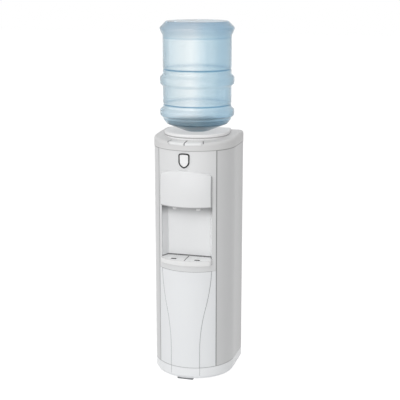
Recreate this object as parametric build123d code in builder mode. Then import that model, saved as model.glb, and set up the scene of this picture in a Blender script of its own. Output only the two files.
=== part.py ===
from build123d import *
import os
from math import acos, atan2, cos, degrees, hypot, radians, sin, sqrt

# A free-standing water dispenser with the bottle on top, in millimetres.
# X runs to the right, the front faces -Y and Z is up. The origin lies on the floor,
# on the axis of the half-round front.

# Cabinet plan
CABINET_WIDTH = 300.0
BACK_Y = 135.0
REAR_CORNER_R = 23.0
FRONT_SKIN = 2.5
SIDE_SHEET = 1.2
BACK_SHEET = 1.0
SEAM = 0.8
SEAM_INSET = 43.0
PANEL_RETURN = 9.0
VENT_Z = 125.0
VENT_PITCH_X = 80.0
VENT_PITCH_Z = 16.0
VENT_COLUMNS = 2
VENT_ROWS = 6
VENT_WIDTH = 64.0
VENT_TALL = 6.0
BACK_INSET = 25.0

# Cabinet heights
RIM_Z = 4.0
BAND_Z = 13.5
BASE_TOP_Z = 47.0
MID_SEAM_Z = 416.0
COVER_Z = 857.0

# Base
RIM_INSET = 6.0
BASE_FLOOR = 3.0
BASE_FLOOR_Z = 9.0
BASE_WALL = 3.0
GROOVE = 1.0
FOOT_R = 14.0
FOOT_STEM_R = 5.0
FOOT_INSET = 35.0
FOOT_FRONT_DEG = 34.4
FOOT_REAR_INSET = 42.0
STEP_FOOT_WIDTH = 60.0
STEP_FOOT_DEPTH = 34.0
STEP_FOOT_SETBACK = 3.0
STEP_CLIP_DEPTH = 10.0
FOOT_EDGE_R = 3.0
FOOT_STEM_OVER = 3.0
FOOT_CHAMFER = 1.0

# The raised field between the two swept edges of the lower front
FIELD_BEND_Z = 110.0
FIELD_LOW_R = 717.0
FIELD_HIGH_R = 760.0
FIELD_TURN = 13.3
FIELD_PROUD = 1.0

# Dispensing alcove and its opening in the front
ALCOVE_TO_JACKET = 7.15
ALCOVE_TO_SEAM = 12.5
ALCOVE_DRAW = 14.5
ALCOVE_ROOF_Z = 657.0
ALCOVE_WALL = 2.5

# Hood over the taps
HOOD_LOW_Z = 653.0
HOOD_SIDE_Z = 772.0
HOOD_TOP_Z = 787.0
HOOD_CORNER_R = 16.0
HOOD_PROUD = 12.0
HOOD_WALL = 2.5
HOOD_BELLY = 1.5
HOOD_CROWN = 7.0
HOOD_EDGE_R = 5.0
HOOD_OVERLAP = 10.5
HOOD_WINDOW_TOP_Z = 766.0

# Badge
BADGE_WIDTH = 40.0
BADGE_TALL = 53.0
BADGE_Z = 823.0
BADGE_BORDER = 4.5
BADGE_PROUD = 3.0
BADGE_PLATE_PROUD = 2.0
SHIELD_SHOULDER = 0.78
SHIELD_STRAIGHT = 0.55
SHIELD_ARCH = 1.5

# Drip tray
TRAY_LOW_Z = 440.0
TRAY_TOP_Z = 459.0
TRAY_PROUD = 14.0
TRAY_FRONT_R = 178.0
TRAY_WALL = 2.0
TRAY_GAP = 0.6
TRAY_EDGE_R = 4.0
TRAY_CORNER_R = 12.0
TRAY_LIP = 8.0
PLATE_SEAT = 0.3
PLATE_PARTING = 1.2
DRAIN_HOLE_SETBACK = 13.0
GRILLE_THICK = 2.5
GRILLE_LEDGE = 2.5
DRAIN_HOLE_WIDTH = 17.0
DRAIN_HOLE_DEPTH = 9.0
PLATE_GROOVE = 1.0
PLATE_GROOVE_DEEP = 0.8

# Taps
TAP_X = 44.0
TAP_SETBACK = 30.0
NOZZLE_LOW_Z = 640.0
NOZZLE_R = 8.0
NOZZLE_BORE_R = 5.0
TAP_BODY_R = 12.0
TAP_BODY_TOP_Z = 690.0
TAP_TAIL_R = 7.0
TAP_TAIL_Z = 676.0
TAP_TAIL = 24.0
TAP_WALL = 3.0
SEAT_THICK = 3.0
EAR_FOOT = 6.0
EAR_OUTER = 7.0
EAR_INNER = 4.5
EAR_R = 3.5
STEM_R = 2.5
PLUG_R = 7.0
PLUG_TALL = 5.0
PLUG_TAPER = 20.0
HEAD_R = 4.5
HEAD_TALL = 2.2
LEVER_REAR_ARM = 7.5
LEVER_FRONT_ARM = 6.5
LEVER_Z = 704.0
LEVER_PIN_R = 1.5
LEVER_HALF = 4.0
LEVER_END_R = 2.0
LEVER_WEB = 1.2
LEVER_BOSS_R = 3.2
FORK_ROOM = 2.5
ROD_R = 2.5
ROD_TIP_R = 1.5
ROD_TIP_TALL = 8.0
ROD_TOP_Z = 871.6
ROD_COLLAR_R = 4.5
ROD_COLLAR_TALL = 2.0
ROD_GUIDE_Z = 776.0
ROD_GUIDE_UPPER_Z = 840.0
ROD_EAR_AHEAD = 4.5
ROD_EAR_WIDTH = 16.0
ROD_EAR_DEPTH = 23.0
ROD_EAR_TALL = 4.0
SPRING_TOP_Z = 806.0
SPRING_R = 4.0
SPRING_WIRE = 1.0
SPRING_TURNS = 6
RUNNING = 0.06
CLEAR = 0.35

# Top cover and its buttons
COVER_PROUD = 1.0
COVER_EDGE_R = 10.0
COVER_FRONT_Z = 884.5
COVER_MIDDLE_Z = 893.5
COVER_REAR_Z = 897.5
COVER_WALL = 2.8
BUTTON_FRONT_X = 66.0
BUTTON_REAR_X = 59.0
BUTTON_TO_COLLAR = 9.0
BUTTON_LOW_Z = 880.0
BUTTON_GAP = 1.0
BUTTON_WALL = 2.4
BUTTON_HINGE_BACK = 5.0
BUTTON_HINGE_Z = 881.0
BUTTON_PIN_R = 1.6
LUG_X = (14.0, 50.0)
LUG_WIDTH = 4.0
LUG_OVER = 2.0
LUG_STEP = 1.6
LUG_REACH = 8.0
LUG_LOW_Z = 878.6
LUG_TOP_Z = 884.2
LUG_ROOT_Z = 886.0
SKIRT_GAP = 0.4
SKIRT_WALL = 2.2
SKIRT_LOW_Z = 872.0
SKIRT_TOP_Z = 882.5
SKIRT_TRIM = 7.5
BEARING_X = (-40.0, -24.0, 24.0, 40.0)
BEARING_WIDTH = 4.0
BEARING_DEPTH = 7.0
BEARING_LOW_Z = 877.0
BEARING_TOP_Z = 886.5
FOOT_PAD_HALF = 3.0
FOOT_PAD_TALL = 12.2
BUTTON_DROP_GAP = 3.0

# Bottle collar
BOTTLE_Y = 20.0
COLLAR_R = 119.0
COLLAR_REAR_Y = 107.0
COLLAR_REAR_HALF = 106.0
COLLAR_MOUTH_R = 81.0
COLLAR_CORNER_R = 12.0
COLLAR_DECK_Z = 907.0
COLLAR_EDGE_R = 4.0
COLLAR_UNDER_Z = 895.0
COLLAR_RING_R = 108.0
COLLAR_STEP_R = 102.0
COLLAR_STEP_Z = 911.0
COLLAR_LIP_R = 88.0
SEAT_GAP = 0.5
SEAT_LOW_R = 40.0
SEAT_SLOPE = 0.42
WELL_R = 34.0
WELL_FLOOR_Z = 856.0
WELL_WALL = 2.5
COVER_HOLE_R = 98.0
PROBE_R = 9.0
PROBE_TOP_Z = 912.0
PROBE_LOW_Z = 832.0
PROBE_BORE_R = 6.5
PROBE_FLANGE_R = 24.0
PROBE_SHOULDER_Z = 905.0
PROBE_WINDOW_WIDTH = 5.0
PROBE_WINDOW_TALL = 14.0

# Bottle, a returnable 18.9 litre one; its ribs and grooves are placed by shares of its side's height
BOTTLE_R = 124.0
BOTTLE_RIB_R = 134.5
BOTTLE_TOP_Z = 1299.0
BOTTLE_TOP_R = 112.0
BOTTLE_CROWN_R = 134.0
CROWN_TOP_DROP = 22.0
CROWN_LOW_DROP = 29.0
WAIST_DROP = 51.0
RIB_LOWER_AT = 0.069
RIB_LOWER_SHARE = 0.109
RIB_UPPER_AT = 0.401
RIB_UPPER_SHARE = 0.126
RIB_FLAT = 0.53
GROOVE_LOWER_AT = 0.155
GROOVE_UPPER_AT = 0.516
GROOVE_SHARE = 0.029
GROOVE_DEEP = 2.5
SHOULDER_Z = 950.0
SHOULDER_R = 77.0
SHOULDER_LOW_Z = 920.0
NECK_R = 26.5
NECK_LOW_Z = 868.0
NECK_TOP_Z = 897.0
SHOULDER_MID_R = 112.0
SHOULDER_MID_Z = 934.0
BOTTLE_WALL = 1.6
CAP_WALL = 1.4
CAP_SKIRT = 24.0
CAP_ROOM = 0.35
CAP_TALL = 34.0

# Cold tank, its coil and its jacket
COLD_TANK_R = 75.0
COLD_TANK_LOW_Z = 646.0
COLD_TANK_TOP_Z = 838.0
TANK_SHEET = 1.0
LID_THICK = 4.0
LID_OVER = 4.0
COIL_TUBE_R = 4.0
COIL_TURNS = 6
COIL_PITCH = 11.0
COIL_LOW_Z = 700.0
JACKET_WALL = 11.0
JACKET_FLOOR = 18.0
JACKET_PARTING = 0.6

# Hot tank
HOT_TANK_R = 52.0
HOT_TANK_LOW_Z = 494.0
HOT_TANK_TALL = 106.0
HOT_JACKET_WALL = 8.0
HOT_JACKET_THICK = 14.0
HEATER_LIFT = 20.0
HEATER_TALL = 30.0
HEATER_THICK = 3.0

# Inner frame
SHELF_SHEET = 1.5
SHELF_REAR_Y = 99.0
SHELF_TO_ALCOVE = 22.0
FRAME_SIDE_FRONT_Y = 4.0
FRAME_SIDE_REAR_Y = 95.0

# Water lines
FEED_TUBE_R = 5.0
WATER_TUBE_R = 4.0
TUBE_WALL = 1.0
TUBE_PLUG = 8.0
WATER_BEND_R = 9.0
HOT_LINE_START = (-30.0, -10.0)
HOT_LINE_TO_ALCOVE = 12.0
HOT_LINE_Z = 621.0
DRAIN_BEND_R = 20.0
DRAIN_INNER_Y = 128.0
DRAIN_END_Y = 150.0
DRAIN_CAP_TALL = 17.0

# Refrigeration circuit
COMPRESSOR_R = 62.0
COMPRESSOR_TALL = 128.0
COMPRESSOR_Y = 48.0
COMPRESSOR_X = 18.0
COMPRESSOR_PLATE_W = 150.0
COMPRESSOR_PLATE_D = 100.0
PLATE_THICK = 3.0
COMPRESSOR_EDGE_R = 18.0
WELD_PROUD = 2.0
WELD_TALL = 5.0
STUB_R = 5.0
STUB_TOP_Z = 166.0
DISCHARGE_PLACE = (-10.0, 70.0)
RELAY_DEPTH = 20.0
RELAY_WIDTH = 44.0
RELAY_TALL = 50.0
RELAY_LIFT = 20.0
RELAY_CORNER_R = 4.0
GROMMET_R = 9.0
GROMMET_TALL = 12.0
PIPE_R = 3.0
PIPE_BEND_R = 8.0
CAPILLARY_R = 1.5
LINE_Y = 118.0
JOINT_Y = 131.0
CROSSOVER_Z = 230.0
CAPILLARY_CROSS_Z = 430.0
LINE_PLACES = ((-40.0, 89.0), (40.0, 89.0))
CONDENSER_TUBE_R = 2.6
CONDENSER_TO_SEAM = 7.0
CONDENSER_LOW_Z = 262.0
CONDENSER_PITCH = 66.0
CONDENSER_RUNS = 8
CONDENSER_Y = 155.0
CONDENSER_BEND_R = 14.0
LOW_PIPE_TO_SEAM = 19.0
TOP_PIPE_TO_SEAM = 4.0
BRACKET_TO_BEND = 20.0
BRACKET_WIDTH = 10.0
BRACKET_TALL = 12.0
BRACKET_CORNER_R = 2.0
BRACKET_END_Y = 164.0
WIRE_R = 0.8
WIRE_COUNT = 13
WIRES_TO_BEND = 28.0
WIRE_OVER = 14.0
WIRE_SIDES = 6
WIRE_GAP = 0.1
DRIER_R = 8.5
DRIER_LOW_Z = 285.0
DRIER_LENGTH = 90.0

# Rear fittings
SWITCH_WIDTH = 15.0
SWITCH_TALL = 21.0
SWITCH_Z = 815.0
SWITCH_LEAST_X = 36.0
SWITCH_PITCH = 26.0
SWITCH_TURN_DEG = 10.0
SWITCH_FLANGE = 2.0
SWITCH_WALL = 1.5
SWITCH_DEEP = 18.0
FLANGE_THICK = 1.5
ROCKER_Y = 131.0
ROCKER_ROOM = 1.2
ROCKER_BACK = 3.0
ROCKER_FRONT = 5.0
ROCKER_PIN_R = 1.5
ROCKER_PIN_REACH = 1.2
KNOB_LEAST_X = 58.0
KNOB_Z = 815.0
KNOB_R = 14.0
KNOB_TALL = 13.0
KNOB_SHAFT_R = 3.0
KNOB_SHAFT_LENGTH = 14.0
KNOB_SCALLOPS = 8
KNOB_SCALLOP_R = 3.0
THERMOSTAT_BOX_W = 34.0
THERMOSTAT_BOX_T = 28.0
THERMOSTAT_BOX_D = 26.0
BOX_TO_JACKET = 1.0
DRAIN_X = 0.0
DRAIN_Z = 205.0
DRAIN_R = 8.0
GLAND_TO_SEAM = 13.0
GLAND_Z = 75.0
GLAND_R = 8.0
GLAND_DEEP = 12.0
GLAND_BORE_R = 3.5
SCREW_R = 2.0
SCREW_HEAD_R = 3.8
SCREW_HEAD_TALL = 2.0
SCREW_LENGTH = 6.0
SCREW_INSET = 33.0
SCREW_Z = (80.0, 300.0, 560.0, 830.0)

# Worked out from the sizes above
FRONT_R = CABINET_WIDTH / 2
SEAM_X = FRONT_R - SEAM_INSET
BACK_HALF = FRONT_R - BACK_INSET
SCREW_X = FRONT_R - SCREW_INSET
STEP_FOOT_FRONT_Y = STEP_FOOT_SETBACK - FRONT_R
FIELD_HALF = SEAM_X / 2
ALCOVE_MOUTH_HALF = SEAM_X - ALCOVE_TO_SEAM
ALCOVE_BACK_HALF = ALCOVE_MOUTH_HALF - ALCOVE_DRAW
HOOD_HALF = ALCOVE_MOUTH_HALF
HOOD_WINDOW_HALF = HOOD_HALF - HOOD_OVERLAP
TRAY_FRONT_Y = -FRONT_R - TRAY_PROUD
DRAIN_HOLE_Y = DRAIN_HOLE_SETBACK - FRONT_R
TAP_Y = TAP_SETBACK - FRONT_R
TAP_TAIL_END_Y = TAP_Y + TAP_TAIL
LEVER_PIVOT_Y = TAP_Y - LEVER_REAR_ARM
ROD_Y = LEVER_PIVOT_Y - LEVER_FRONT_ARM
ROD_EAR_Y = ROD_Y - ROD_EAR_AHEAD
BUTTON_REAR_Y = BOTTLE_Y - COLLAR_R - BUTTON_TO_COLLAR
BUTTON_HINGE_Y = BUTTON_REAR_Y + BUTTON_HINGE_BACK
LUG_REAR_Y = BUTTON_HINGE_Y + LUG_OVER
LUG_STEP_Y = BUTTON_REAR_Y - LUG_STEP
LUG_FRONT_Y = BUTTON_REAR_Y - LUG_REACH
SKIRT_OUTER_R = FRONT_R + COVER_PROUD - COVER_WALL - SKIRT_GAP
SKIRT_INNER_R = SKIRT_OUTER_R - SKIRT_WALL
CONDENSER_HALF = SEAM_X - CONDENSER_TO_SEAM
CONDENSER_LOW_X = LOW_PIPE_TO_SEAM - SEAM_X
CONDENSER_TOP_X = TOP_PIPE_TO_SEAM - SEAM_X
BRACKET_X = CONDENSER_HALF - BRACKET_TO_BEND
WIRE_HALF = CONDENSER_HALF - WIRES_TO_BEND
GLAND_X = GLAND_TO_SEAM - SEAM_X
FIELD_R = FRONT_R + FIELD_PROUD
HALF_SEAM = SEAM / 2
HALF_RUNNING = RUNNING / 2
PANEL_HALF = SEAM_X - HALF_SEAM
COLLAR_TURN = degrees(atan2(COLLAR_REAR_Y - BOTTLE_Y, COLLAR_REAR_HALF)
                      - acos(COLLAR_R / hypot(COLLAR_REAR_HALF, COLLAR_REAR_Y - BOTTLE_Y)))
BACK_OUTER_Y = BACK_Y - SIDE_SHEET
BACK_INNER_Y = BACK_OUTER_Y - BACK_SHEET
PAN_FLOOR_Z = BASE_FLOOR_Z + BASE_FLOOR
UPPER_LOW_Z = MID_SEAM_Z + HALF_SEAM
UPPER_TOP_Z = COVER_Z - HALF_SEAM
LOWER_LOW_Z = BASE_TOP_Z + HALF_SEAM
LOWER_TOP_Z = MID_SEAM_Z - HALF_SEAM
RETURN_Y = PANEL_RETURN / 2 - HALF_SEAM - sqrt((FRONT_R - FRONT_SKIN) ** 2 - (PANEL_HALF - FRONT_SKIN) ** 2)
OPENING_LOW_Z = TRAY_LOW_Z - TRAY_GAP
OPENING_TOP_Z = ALCOVE_ROOF_Z + ALCOVE_WALL + CLEAR
MOUTH_Y = -sqrt(FRONT_R**2 - ALCOVE_MOUTH_HALF**2)
TAP_SEAT_Z = ALCOVE_ROOF_Z + ALCOVE_WALL
BOTTLE_SIDE_TALL = BOTTLE_TOP_Z - SHOULDER_Z
COLLAR_RIM_Z = SHOULDER_LOW_Z - SEAT_GAP
SEAT_LOW_Z = COLLAR_RIM_Z - (SHOULDER_R - SEAT_LOW_R) * SEAT_SLOPE
COLD_WALL_Y = BOTTLE_Y - sqrt((COLD_TANK_R - TANK_SHEET) ** 2 - TAP_X**2)
COIL_OUTER_R = COLD_TANK_R + 2 * COIL_TUBE_R + CLEAR
COIL_BOTTOM_Z = COIL_LOW_Z - COIL_PITCH / 2
JACKET_R = COIL_OUTER_R + JACKET_WALL
ALCOVE_BACK_Y = BOTTLE_Y - JACKET_R - ALCOVE_TO_JACKET - ALCOVE_WALL
HOT_LINE_Y = ALCOVE_BACK_Y + HOT_LINE_TO_ALCOVE
SHELF_FRONT_Y = ALCOVE_BACK_Y + SHELF_TO_ALCOVE
COLD_JACKET_LOW_Z = COLD_TANK_LOW_Z - JACKET_FLOOR
HOT_TANK_TOP_Z = HOT_TANK_LOW_Z + HOT_TANK_TALL
HOT_BORE_R = HOT_TANK_R + HEATER_THICK + CLEAR
HOT_JACKET_R = HOT_BORE_R + HOT_JACKET_THICK
HOT_SHELF_Z = HOT_TANK_LOW_Z - HOT_JACKET_WALL
COMPRESSOR_LOW_Z = PAN_FLOOR_Z + GROMMET_TALL
CONDENSER_TOP_Z = CONDENSER_LOW_Z + (CONDENSER_RUNS - 1) * CONDENSER_PITCH
WIRE_Y = CONDENSER_TUBE_R + WIRE_R + WIRE_GAP
BRACKET_Z = (CONDENSER_LOW_Z + CONDENSER_PITCH, CONDENSER_TOP_Z - CONDENSER_PITCH)
BRACKET_PLACES = [(x, z) for x in (-BRACKET_X, BRACKET_X) for z in BRACKET_Z]
FOOT_TURN = radians(FOOT_FRONT_DEG)
FOOT_FRONT_X = (FRONT_R - FOOT_INSET) * cos(FOOT_TURN)
FOOT_FRONT_Y = (FOOT_INSET - FRONT_R) * sin(FOOT_TURN)
FOOT_REAR_X = FRONT_R - FOOT_REAR_INSET
FOOT_REAR_Y = BACK_Y - FOOT_INSET
FOOT_PLACES = [(side * x, y) for side in (-1, 1)
               for x, y in ((FOOT_FRONT_X, FOOT_FRONT_Y), (FOOT_REAR_X, FOOT_REAR_Y))]
PIPE_PLACES = [(CONDENSER_LOW_X, CONDENSER_LOW_Z), (CONDENSER_TOP_X, CONDENSER_TOP_Z)]
BACK_SCREWS = [(side * SCREW_X, z) for side in (-1, 1) for z in SCREW_Z]
TAP_SIDES = {"hot": -1, "cold": 1}


def beside_jacket(deep, width):
    """How far to the side a box of this depth on the back sheet lies to stay clear of the cold jacket."""
    front = BACK_INNER_Y - deep - BOTTLE_Y
    return sqrt(max(0, (JACKET_R + BOX_TO_JACKET)**2 - front**2)) + width / 2


KNOB_X = max(KNOB_LEAST_X, beside_jacket(THERMOSTAT_BOX_D, THERMOSTAT_BOX_W))
SWITCH_INNER_X = max(SWITCH_LEAST_X, beside_jacket(SWITCH_DEEP, SWITCH_WIDTH))
SWITCH_X = (-SWITCH_INNER_X - SWITCH_PITCH, -SWITCH_INNER_X)

os.makedirs("parts", exist_ok=True)


def export(part, name):
    """Label a finished piece and write it as its own STEP file."""
    part.label = name
    export_step(part, f"parts/{name}.step")


def cabinet_plan(inset):
    """The cabinet seen from above: half-round front, flat sides, rounded rear corners."""
    half = FRONT_R - inset
    rear = BACK_Y - inset
    with BuildSketch() as plan:
        with BuildLine():
            CenterArc((0, 0), half, 180, 180)
            Polyline((half, 0), (half, rear), (-half, rear), (-half, 0))
        make_face()
        fillet(plan.vertices().group_by(Axis.Y)[-1], REAR_CORNER_R - inset)
    return plan.sketch


def plan_block(inset, low, high):
    """A block of the cabinet's plan between two heights."""
    with BuildPart() as block:
        with BuildSketch(Plane.XY.offset(low)):
            add(cabinet_plan(inset))
        extrude(amount=high - low)
    return block.part


def front_slab(inner_r, outer_r, half_width, low, high):
    """A curved slab of the half-round front, between two seams and two heights."""
    with BuildPart() as slab:
        with BuildSketch(Plane.XY.offset(low)):
            Circle(outer_r)
            Circle(inner_r, mode=Mode.SUBTRACT)
            with Locations((0, -outer_r)):
                Rectangle(2 * half_width, 2 * outer_r, mode=Mode.INTERSECT)
        extrude(amount=high - low)
    return slab.part


def tube(points, bend_r, outer_r, bore_r=0.0):
    """A pipe along straight runs joined by bends, hollow where it has a bore."""
    with BuildPart() as pipe:
        with BuildLine() as route:
            if len(points) > 2:
                FilletPolyline(*points, radius=bend_r)
            else:
                Line(*points)
        start = Plane(origin=route.line @ 0, z_dir=route.line % 0)
        with BuildSketch(start):
            Circle(outer_r)
            if bore_r:
                Circle(bore_r, mode=Mode.SUBTRACT)
        sweep()
    return pipe.part


# Base tray: a moulded pan whose lower rim steps in above the floor
with BuildPart() as base_tray:
    add(plan_block(0, BAND_Z, BASE_TOP_Z))
    add(plan_block(RIM_INSET, RIM_Z, BAND_Z))
    add(plan_block(BASE_WALL, BAND_Z + BASE_FLOOR, BASE_TOP_Z), mode=Mode.SUBTRACT)
    add(plan_block(RIM_INSET + BASE_WALL, BASE_FLOOR_Z + BASE_FLOOR, BAND_Z + BASE_FLOOR),
        mode=Mode.SUBTRACT)
    add(plan_block(RIM_INSET + BASE_WALL, RIM_Z, BASE_FLOOR_Z), mode=Mode.SUBTRACT)
    # the swept edges of the lower front run on down the band as two grooves
    with BuildSketch(Plane.XZ.offset(FRONT_R - GROOVE)):
        with GridLocations(2 * FIELD_HALF, 1, 2, 1):
            with Locations((0, (BAND_Z + BASE_TOP_Z) / 2)):
                Rectangle(GROOVE, BASE_TOP_Z - BAND_Z)
    extrude(amount=RIM_INSET, mode=Mode.SUBTRACT)
    with BuildSketch(Plane.XY.offset(BASE_FLOOR_Z)):
        with Locations(*FOOT_PLACES):
            Circle(FOOT_STEM_R)
    extrude(amount=BASE_FLOOR, mode=Mode.SUBTRACT)
export(base_tray.part, "base_tray")

# Front foot: a wide tread clipped under the rim
with BuildPart() as front_foot:
    with BuildSketch(Plane.XY):
        with Locations((0, STEP_FOOT_FRONT_Y + STEP_FOOT_DEPTH / 2)):
            RectangleRounded(STEP_FOOT_WIDTH, STEP_FOOT_DEPTH, FOOT_EDGE_R)
    extrude(amount=RIM_Z)
    with BuildSketch(Plane.XY.offset(RIM_Z)):
        with Locations((0, STEP_FOOT_FRONT_Y + STEP_FOOT_DEPTH - STEP_CLIP_DEPTH)):
            RectangleRounded(STEP_FOOT_WIDTH - STEP_CLIP_DEPTH, STEP_CLIP_DEPTH, FOOT_EDGE_R)
    extrude(amount=BASE_FLOOR_Z - RIM_Z)
export(front_foot.part, "front_foot")

# Rubber feet: discs whose stems press up through the pan's floor
with BuildPart() as rubber_feet:
    with BuildSketch(Plane.XY):
        with Locations(*FOOT_PLACES):
            Circle(FOOT_R)
    extrude(amount=BASE_FLOOR_Z)
    with BuildSketch(Plane.XY.offset(BASE_FLOOR_Z)):
        with Locations(*FOOT_PLACES):
            Circle(FOOT_STEM_R)
    extrude(amount=BASE_FLOOR + FOOT_STEM_OVER)
    chamfer(rubber_feet.edges().group_by(Axis.Z)[0], FOOT_CHAMFER)
export(rubber_feet.part, "rubber_feet")


def side_panel(side):
    """Folded steel side: from the front seam round to a flange behind the back panel."""
    edge = SEAM_X + HALF_SEAM
    inner_y = -sqrt((FRONT_R - SIDE_SHEET) ** 2 - edge**2)
    with BuildPart() as panel:
        with BuildSketch(Plane.XY.offset(BASE_TOP_Z + HALF_SEAM)):
            add(cabinet_plan(0))
            add(cabinet_plan(SIDE_SHEET), mode=Mode.SUBTRACT)
            with Locations((side * (edge + FRONT_R / 2), 0)):
                Rectangle(FRONT_R, 2 * CABINET_WIDTH, mode=Mode.INTERSECT)
            with Locations((side * (edge + SIDE_SHEET / 2), inner_y + PANEL_RETURN / 2 - HALF_SEAM)):
                Rectangle(SIDE_SHEET, PANEL_RETURN)
        extrude(amount=COVER_Z - BASE_TOP_Z - SEAM)
        with BuildSketch(Plane.XZ.offset(-BACK_Y)):
            with Locations(*BACK_SCREWS):
                Circle(SCREW_R)
        extrude(amount=2 * SIDE_SHEET, mode=Mode.SUBTRACT)
    return panel.part


export(side_panel(-1), "left_side_panel")
export(side_panel(1), "right_side_panel")

# Back panel: a flat sheet behind the side flanges, with vents and the holes for the fittings
with BuildPart() as back_panel:
    with BuildSketch(Plane.XZ.offset(-BACK_OUTER_Y)):
        with Locations((0, (BASE_TOP_Z + COVER_Z) / 2)):
            Rectangle(2 * BACK_HALF, COVER_Z - BASE_TOP_Z - SEAM)
        with Locations((0, VENT_Z)):
            with GridLocations(VENT_PITCH_X, VENT_PITCH_Z, VENT_COLUMNS, VENT_ROWS):
                Rectangle(VENT_WIDTH, VENT_TALL, mode=Mode.SUBTRACT)
        with Locations(*[(x, SWITCH_Z) for x in SWITCH_X]):
            Rectangle(SWITCH_WIDTH + 2 * CLEAR, SWITCH_TALL + 2 * CLEAR, mode=Mode.SUBTRACT)
        with Locations((KNOB_X, KNOB_Z)):
            Circle(KNOB_SHAFT_R + CLEAR, mode=Mode.SUBTRACT)
        with Locations((DRAIN_X, DRAIN_Z)):
            Circle(DRAIN_R, mode=Mode.SUBTRACT)
        with Locations((GLAND_X, GLAND_Z)):
            Circle(GLAND_R, mode=Mode.SUBTRACT)
        with Locations(*PIPE_PLACES):
            Circle(PIPE_R + CLEAR, mode=Mode.SUBTRACT)
        with Locations(*BACK_SCREWS):
            Circle(SCREW_R, mode=Mode.SUBTRACT)
    extrude(amount=BACK_SHEET)
export(back_panel.part, "back_panel")

# Upper front: the curved skin with its side returns, open for the alcove and behind the hood
with BuildPart() as upper_front_panel:
    add(front_slab(FRONT_R - FRONT_SKIN, FRONT_R, PANEL_HALF, UPPER_LOW_Z, UPPER_TOP_Z))
    with BuildSketch(Plane.XY.offset(UPPER_LOW_Z)):
        with Locations((PANEL_HALF - FRONT_SKIN / 2, RETURN_Y), (FRONT_SKIN / 2 - PANEL_HALF, RETURN_Y)):
            Rectangle(FRONT_SKIN, PANEL_RETURN)
    extrude(amount=UPPER_TOP_Z - UPPER_LOW_Z)
    with BuildSketch(Plane.XZ):
        with Locations((0, (OPENING_LOW_Z + OPENING_TOP_Z) / 2)):
            Rectangle(2 * ALCOVE_MOUTH_HALF, OPENING_TOP_Z - OPENING_LOW_Z)
        with Locations((0, (OPENING_TOP_Z + HOOD_WINDOW_TOP_Z) / 2)):
            Rectangle(2 * HOOD_WINDOW_HALF, HOOD_WINDOW_TOP_Z - OPENING_TOP_Z)
    extrude(amount=CABINET_WIDTH, mode=Mode.SUBTRACT)
    # two ears behind the skin guide each push rod
    for guide_z in (ROD_GUIDE_Z, ROD_GUIDE_UPPER_Z):
        with BuildSketch(Plane.XY.offset(guide_z)):
            with Locations((-TAP_X, ROD_EAR_Y), (TAP_X, ROD_EAR_Y)):
                Rectangle(ROD_EAR_WIDTH, ROD_EAR_DEPTH)
            Circle(FRONT_R - HALF_SEAM, mode=Mode.INTERSECT)
            with Locations((-TAP_X, ROD_Y), (TAP_X, ROD_Y)):
                Circle(ROD_R + RUNNING, mode=Mode.SUBTRACT)
        extrude(amount=ROD_EAR_TALL)
export(upper_front_panel.part, "upper_front_panel")

# Lower front: the skin carries a raised field between two swept edges
with BuildPart() as swept_field:
    with BuildSketch(Plane.XZ):
        with BuildLine():
            upright = Line((FIELD_HALF, BASE_TOP_Z), (FIELD_HALF, FIELD_BEND_Z))
            outward = JernArc(upright @ 1, upright % 1, FIELD_LOW_R, -FIELD_TURN)
            inward = JernArc(outward @ 1, outward % 1, FIELD_HIGH_R, FIELD_TURN)
            Polyline(inward @ 1, (0, (inward @ 1).Y), (0, BASE_TOP_Z), upright @ 0)
        make_face()
        mirror(about=Plane.YZ)
    extrude(amount=CABINET_WIDTH)
    add(front_slab(FRONT_R - HALF_SEAM, FIELD_R, PANEL_HALF, LOWER_LOW_Z, LOWER_TOP_Z),
        mode=Mode.INTERSECT)

with BuildPart() as lower_front_panel:
    add(front_slab(FRONT_R - FRONT_SKIN, FRONT_R, PANEL_HALF, LOWER_LOW_Z, LOWER_TOP_Z))
    with BuildSketch(Plane.XY.offset(LOWER_LOW_Z)):
        with Locations((PANEL_HALF - FRONT_SKIN / 2, RETURN_Y), (FRONT_SKIN / 2 - PANEL_HALF, RETURN_Y)):
            Rectangle(FRONT_SKIN, PANEL_RETURN)
    extrude(amount=LOWER_TOP_Z - LOWER_LOW_Z)
    add(swept_field.part)
export(lower_front_panel.part, "lower_front_panel")


def hood_form(inset):
    """The hood's bulging form, cut to its arched front outline, drawn a distance inside."""
    half = HOOD_HALF - inset
    low = HOOD_LOW_Z + inset
    foot = (FRONT_R + HOOD_PROUD - inset, low)
    belly = (FRONT_R + HOOD_PROUD + HOOD_BELLY - inset, (HOOD_LOW_Z + HOOD_TOP_Z) / 2)
    crown = (FRONT_R + HOOD_CROWN - inset, HOOD_TOP_Z)
    with BuildPart() as form:
        with BuildSketch(Plane.XZ):
            with BuildLine():
                ThreePointArc(foot, belly, crown)
                Polyline(crown, (0, HOOD_TOP_Z), (0, low), foot)
            make_face()
        revolve(axis=Axis.Z, revolution_arc=360)
        with BuildSketch(Plane.XZ):
            with BuildLine():
                ThreePointArc((-half, HOOD_SIDE_Z - inset), (0, HOOD_TOP_Z - inset),
                              (half, HOOD_SIDE_Z - inset))
                Polyline((half, HOOD_SIDE_Z - inset), (half, low), (-half, low),
                         (-half, HOOD_SIDE_Z - inset))
            face = make_face()
            fillet(face.vertices().group_by(Axis.Y)[-1], HOOD_CORNER_R)
        extrude(amount=2 * FRONT_R, mode=Mode.INTERSECT)
    return form.part


# Tap hood: a bulging cover over the tap mechanism
with BuildPart() as tap_hood:
    add(hood_form(0))
    bulge = tap_hood.faces().sort_by(Axis.Y)[0]
    fillet(bulge.edges(), HOOD_EDGE_R)
    add(hood_form(HOOD_WALL), mode=Mode.SUBTRACT)
    with BuildSketch(Plane.XY.offset(HOOD_LOW_Z)):
        Circle(FRONT_R)
    extrude(amount=HOOD_TOP_Z - HOOD_LOW_Z, mode=Mode.SUBTRACT)
export(tap_hood.part, "tap_hood")


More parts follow.
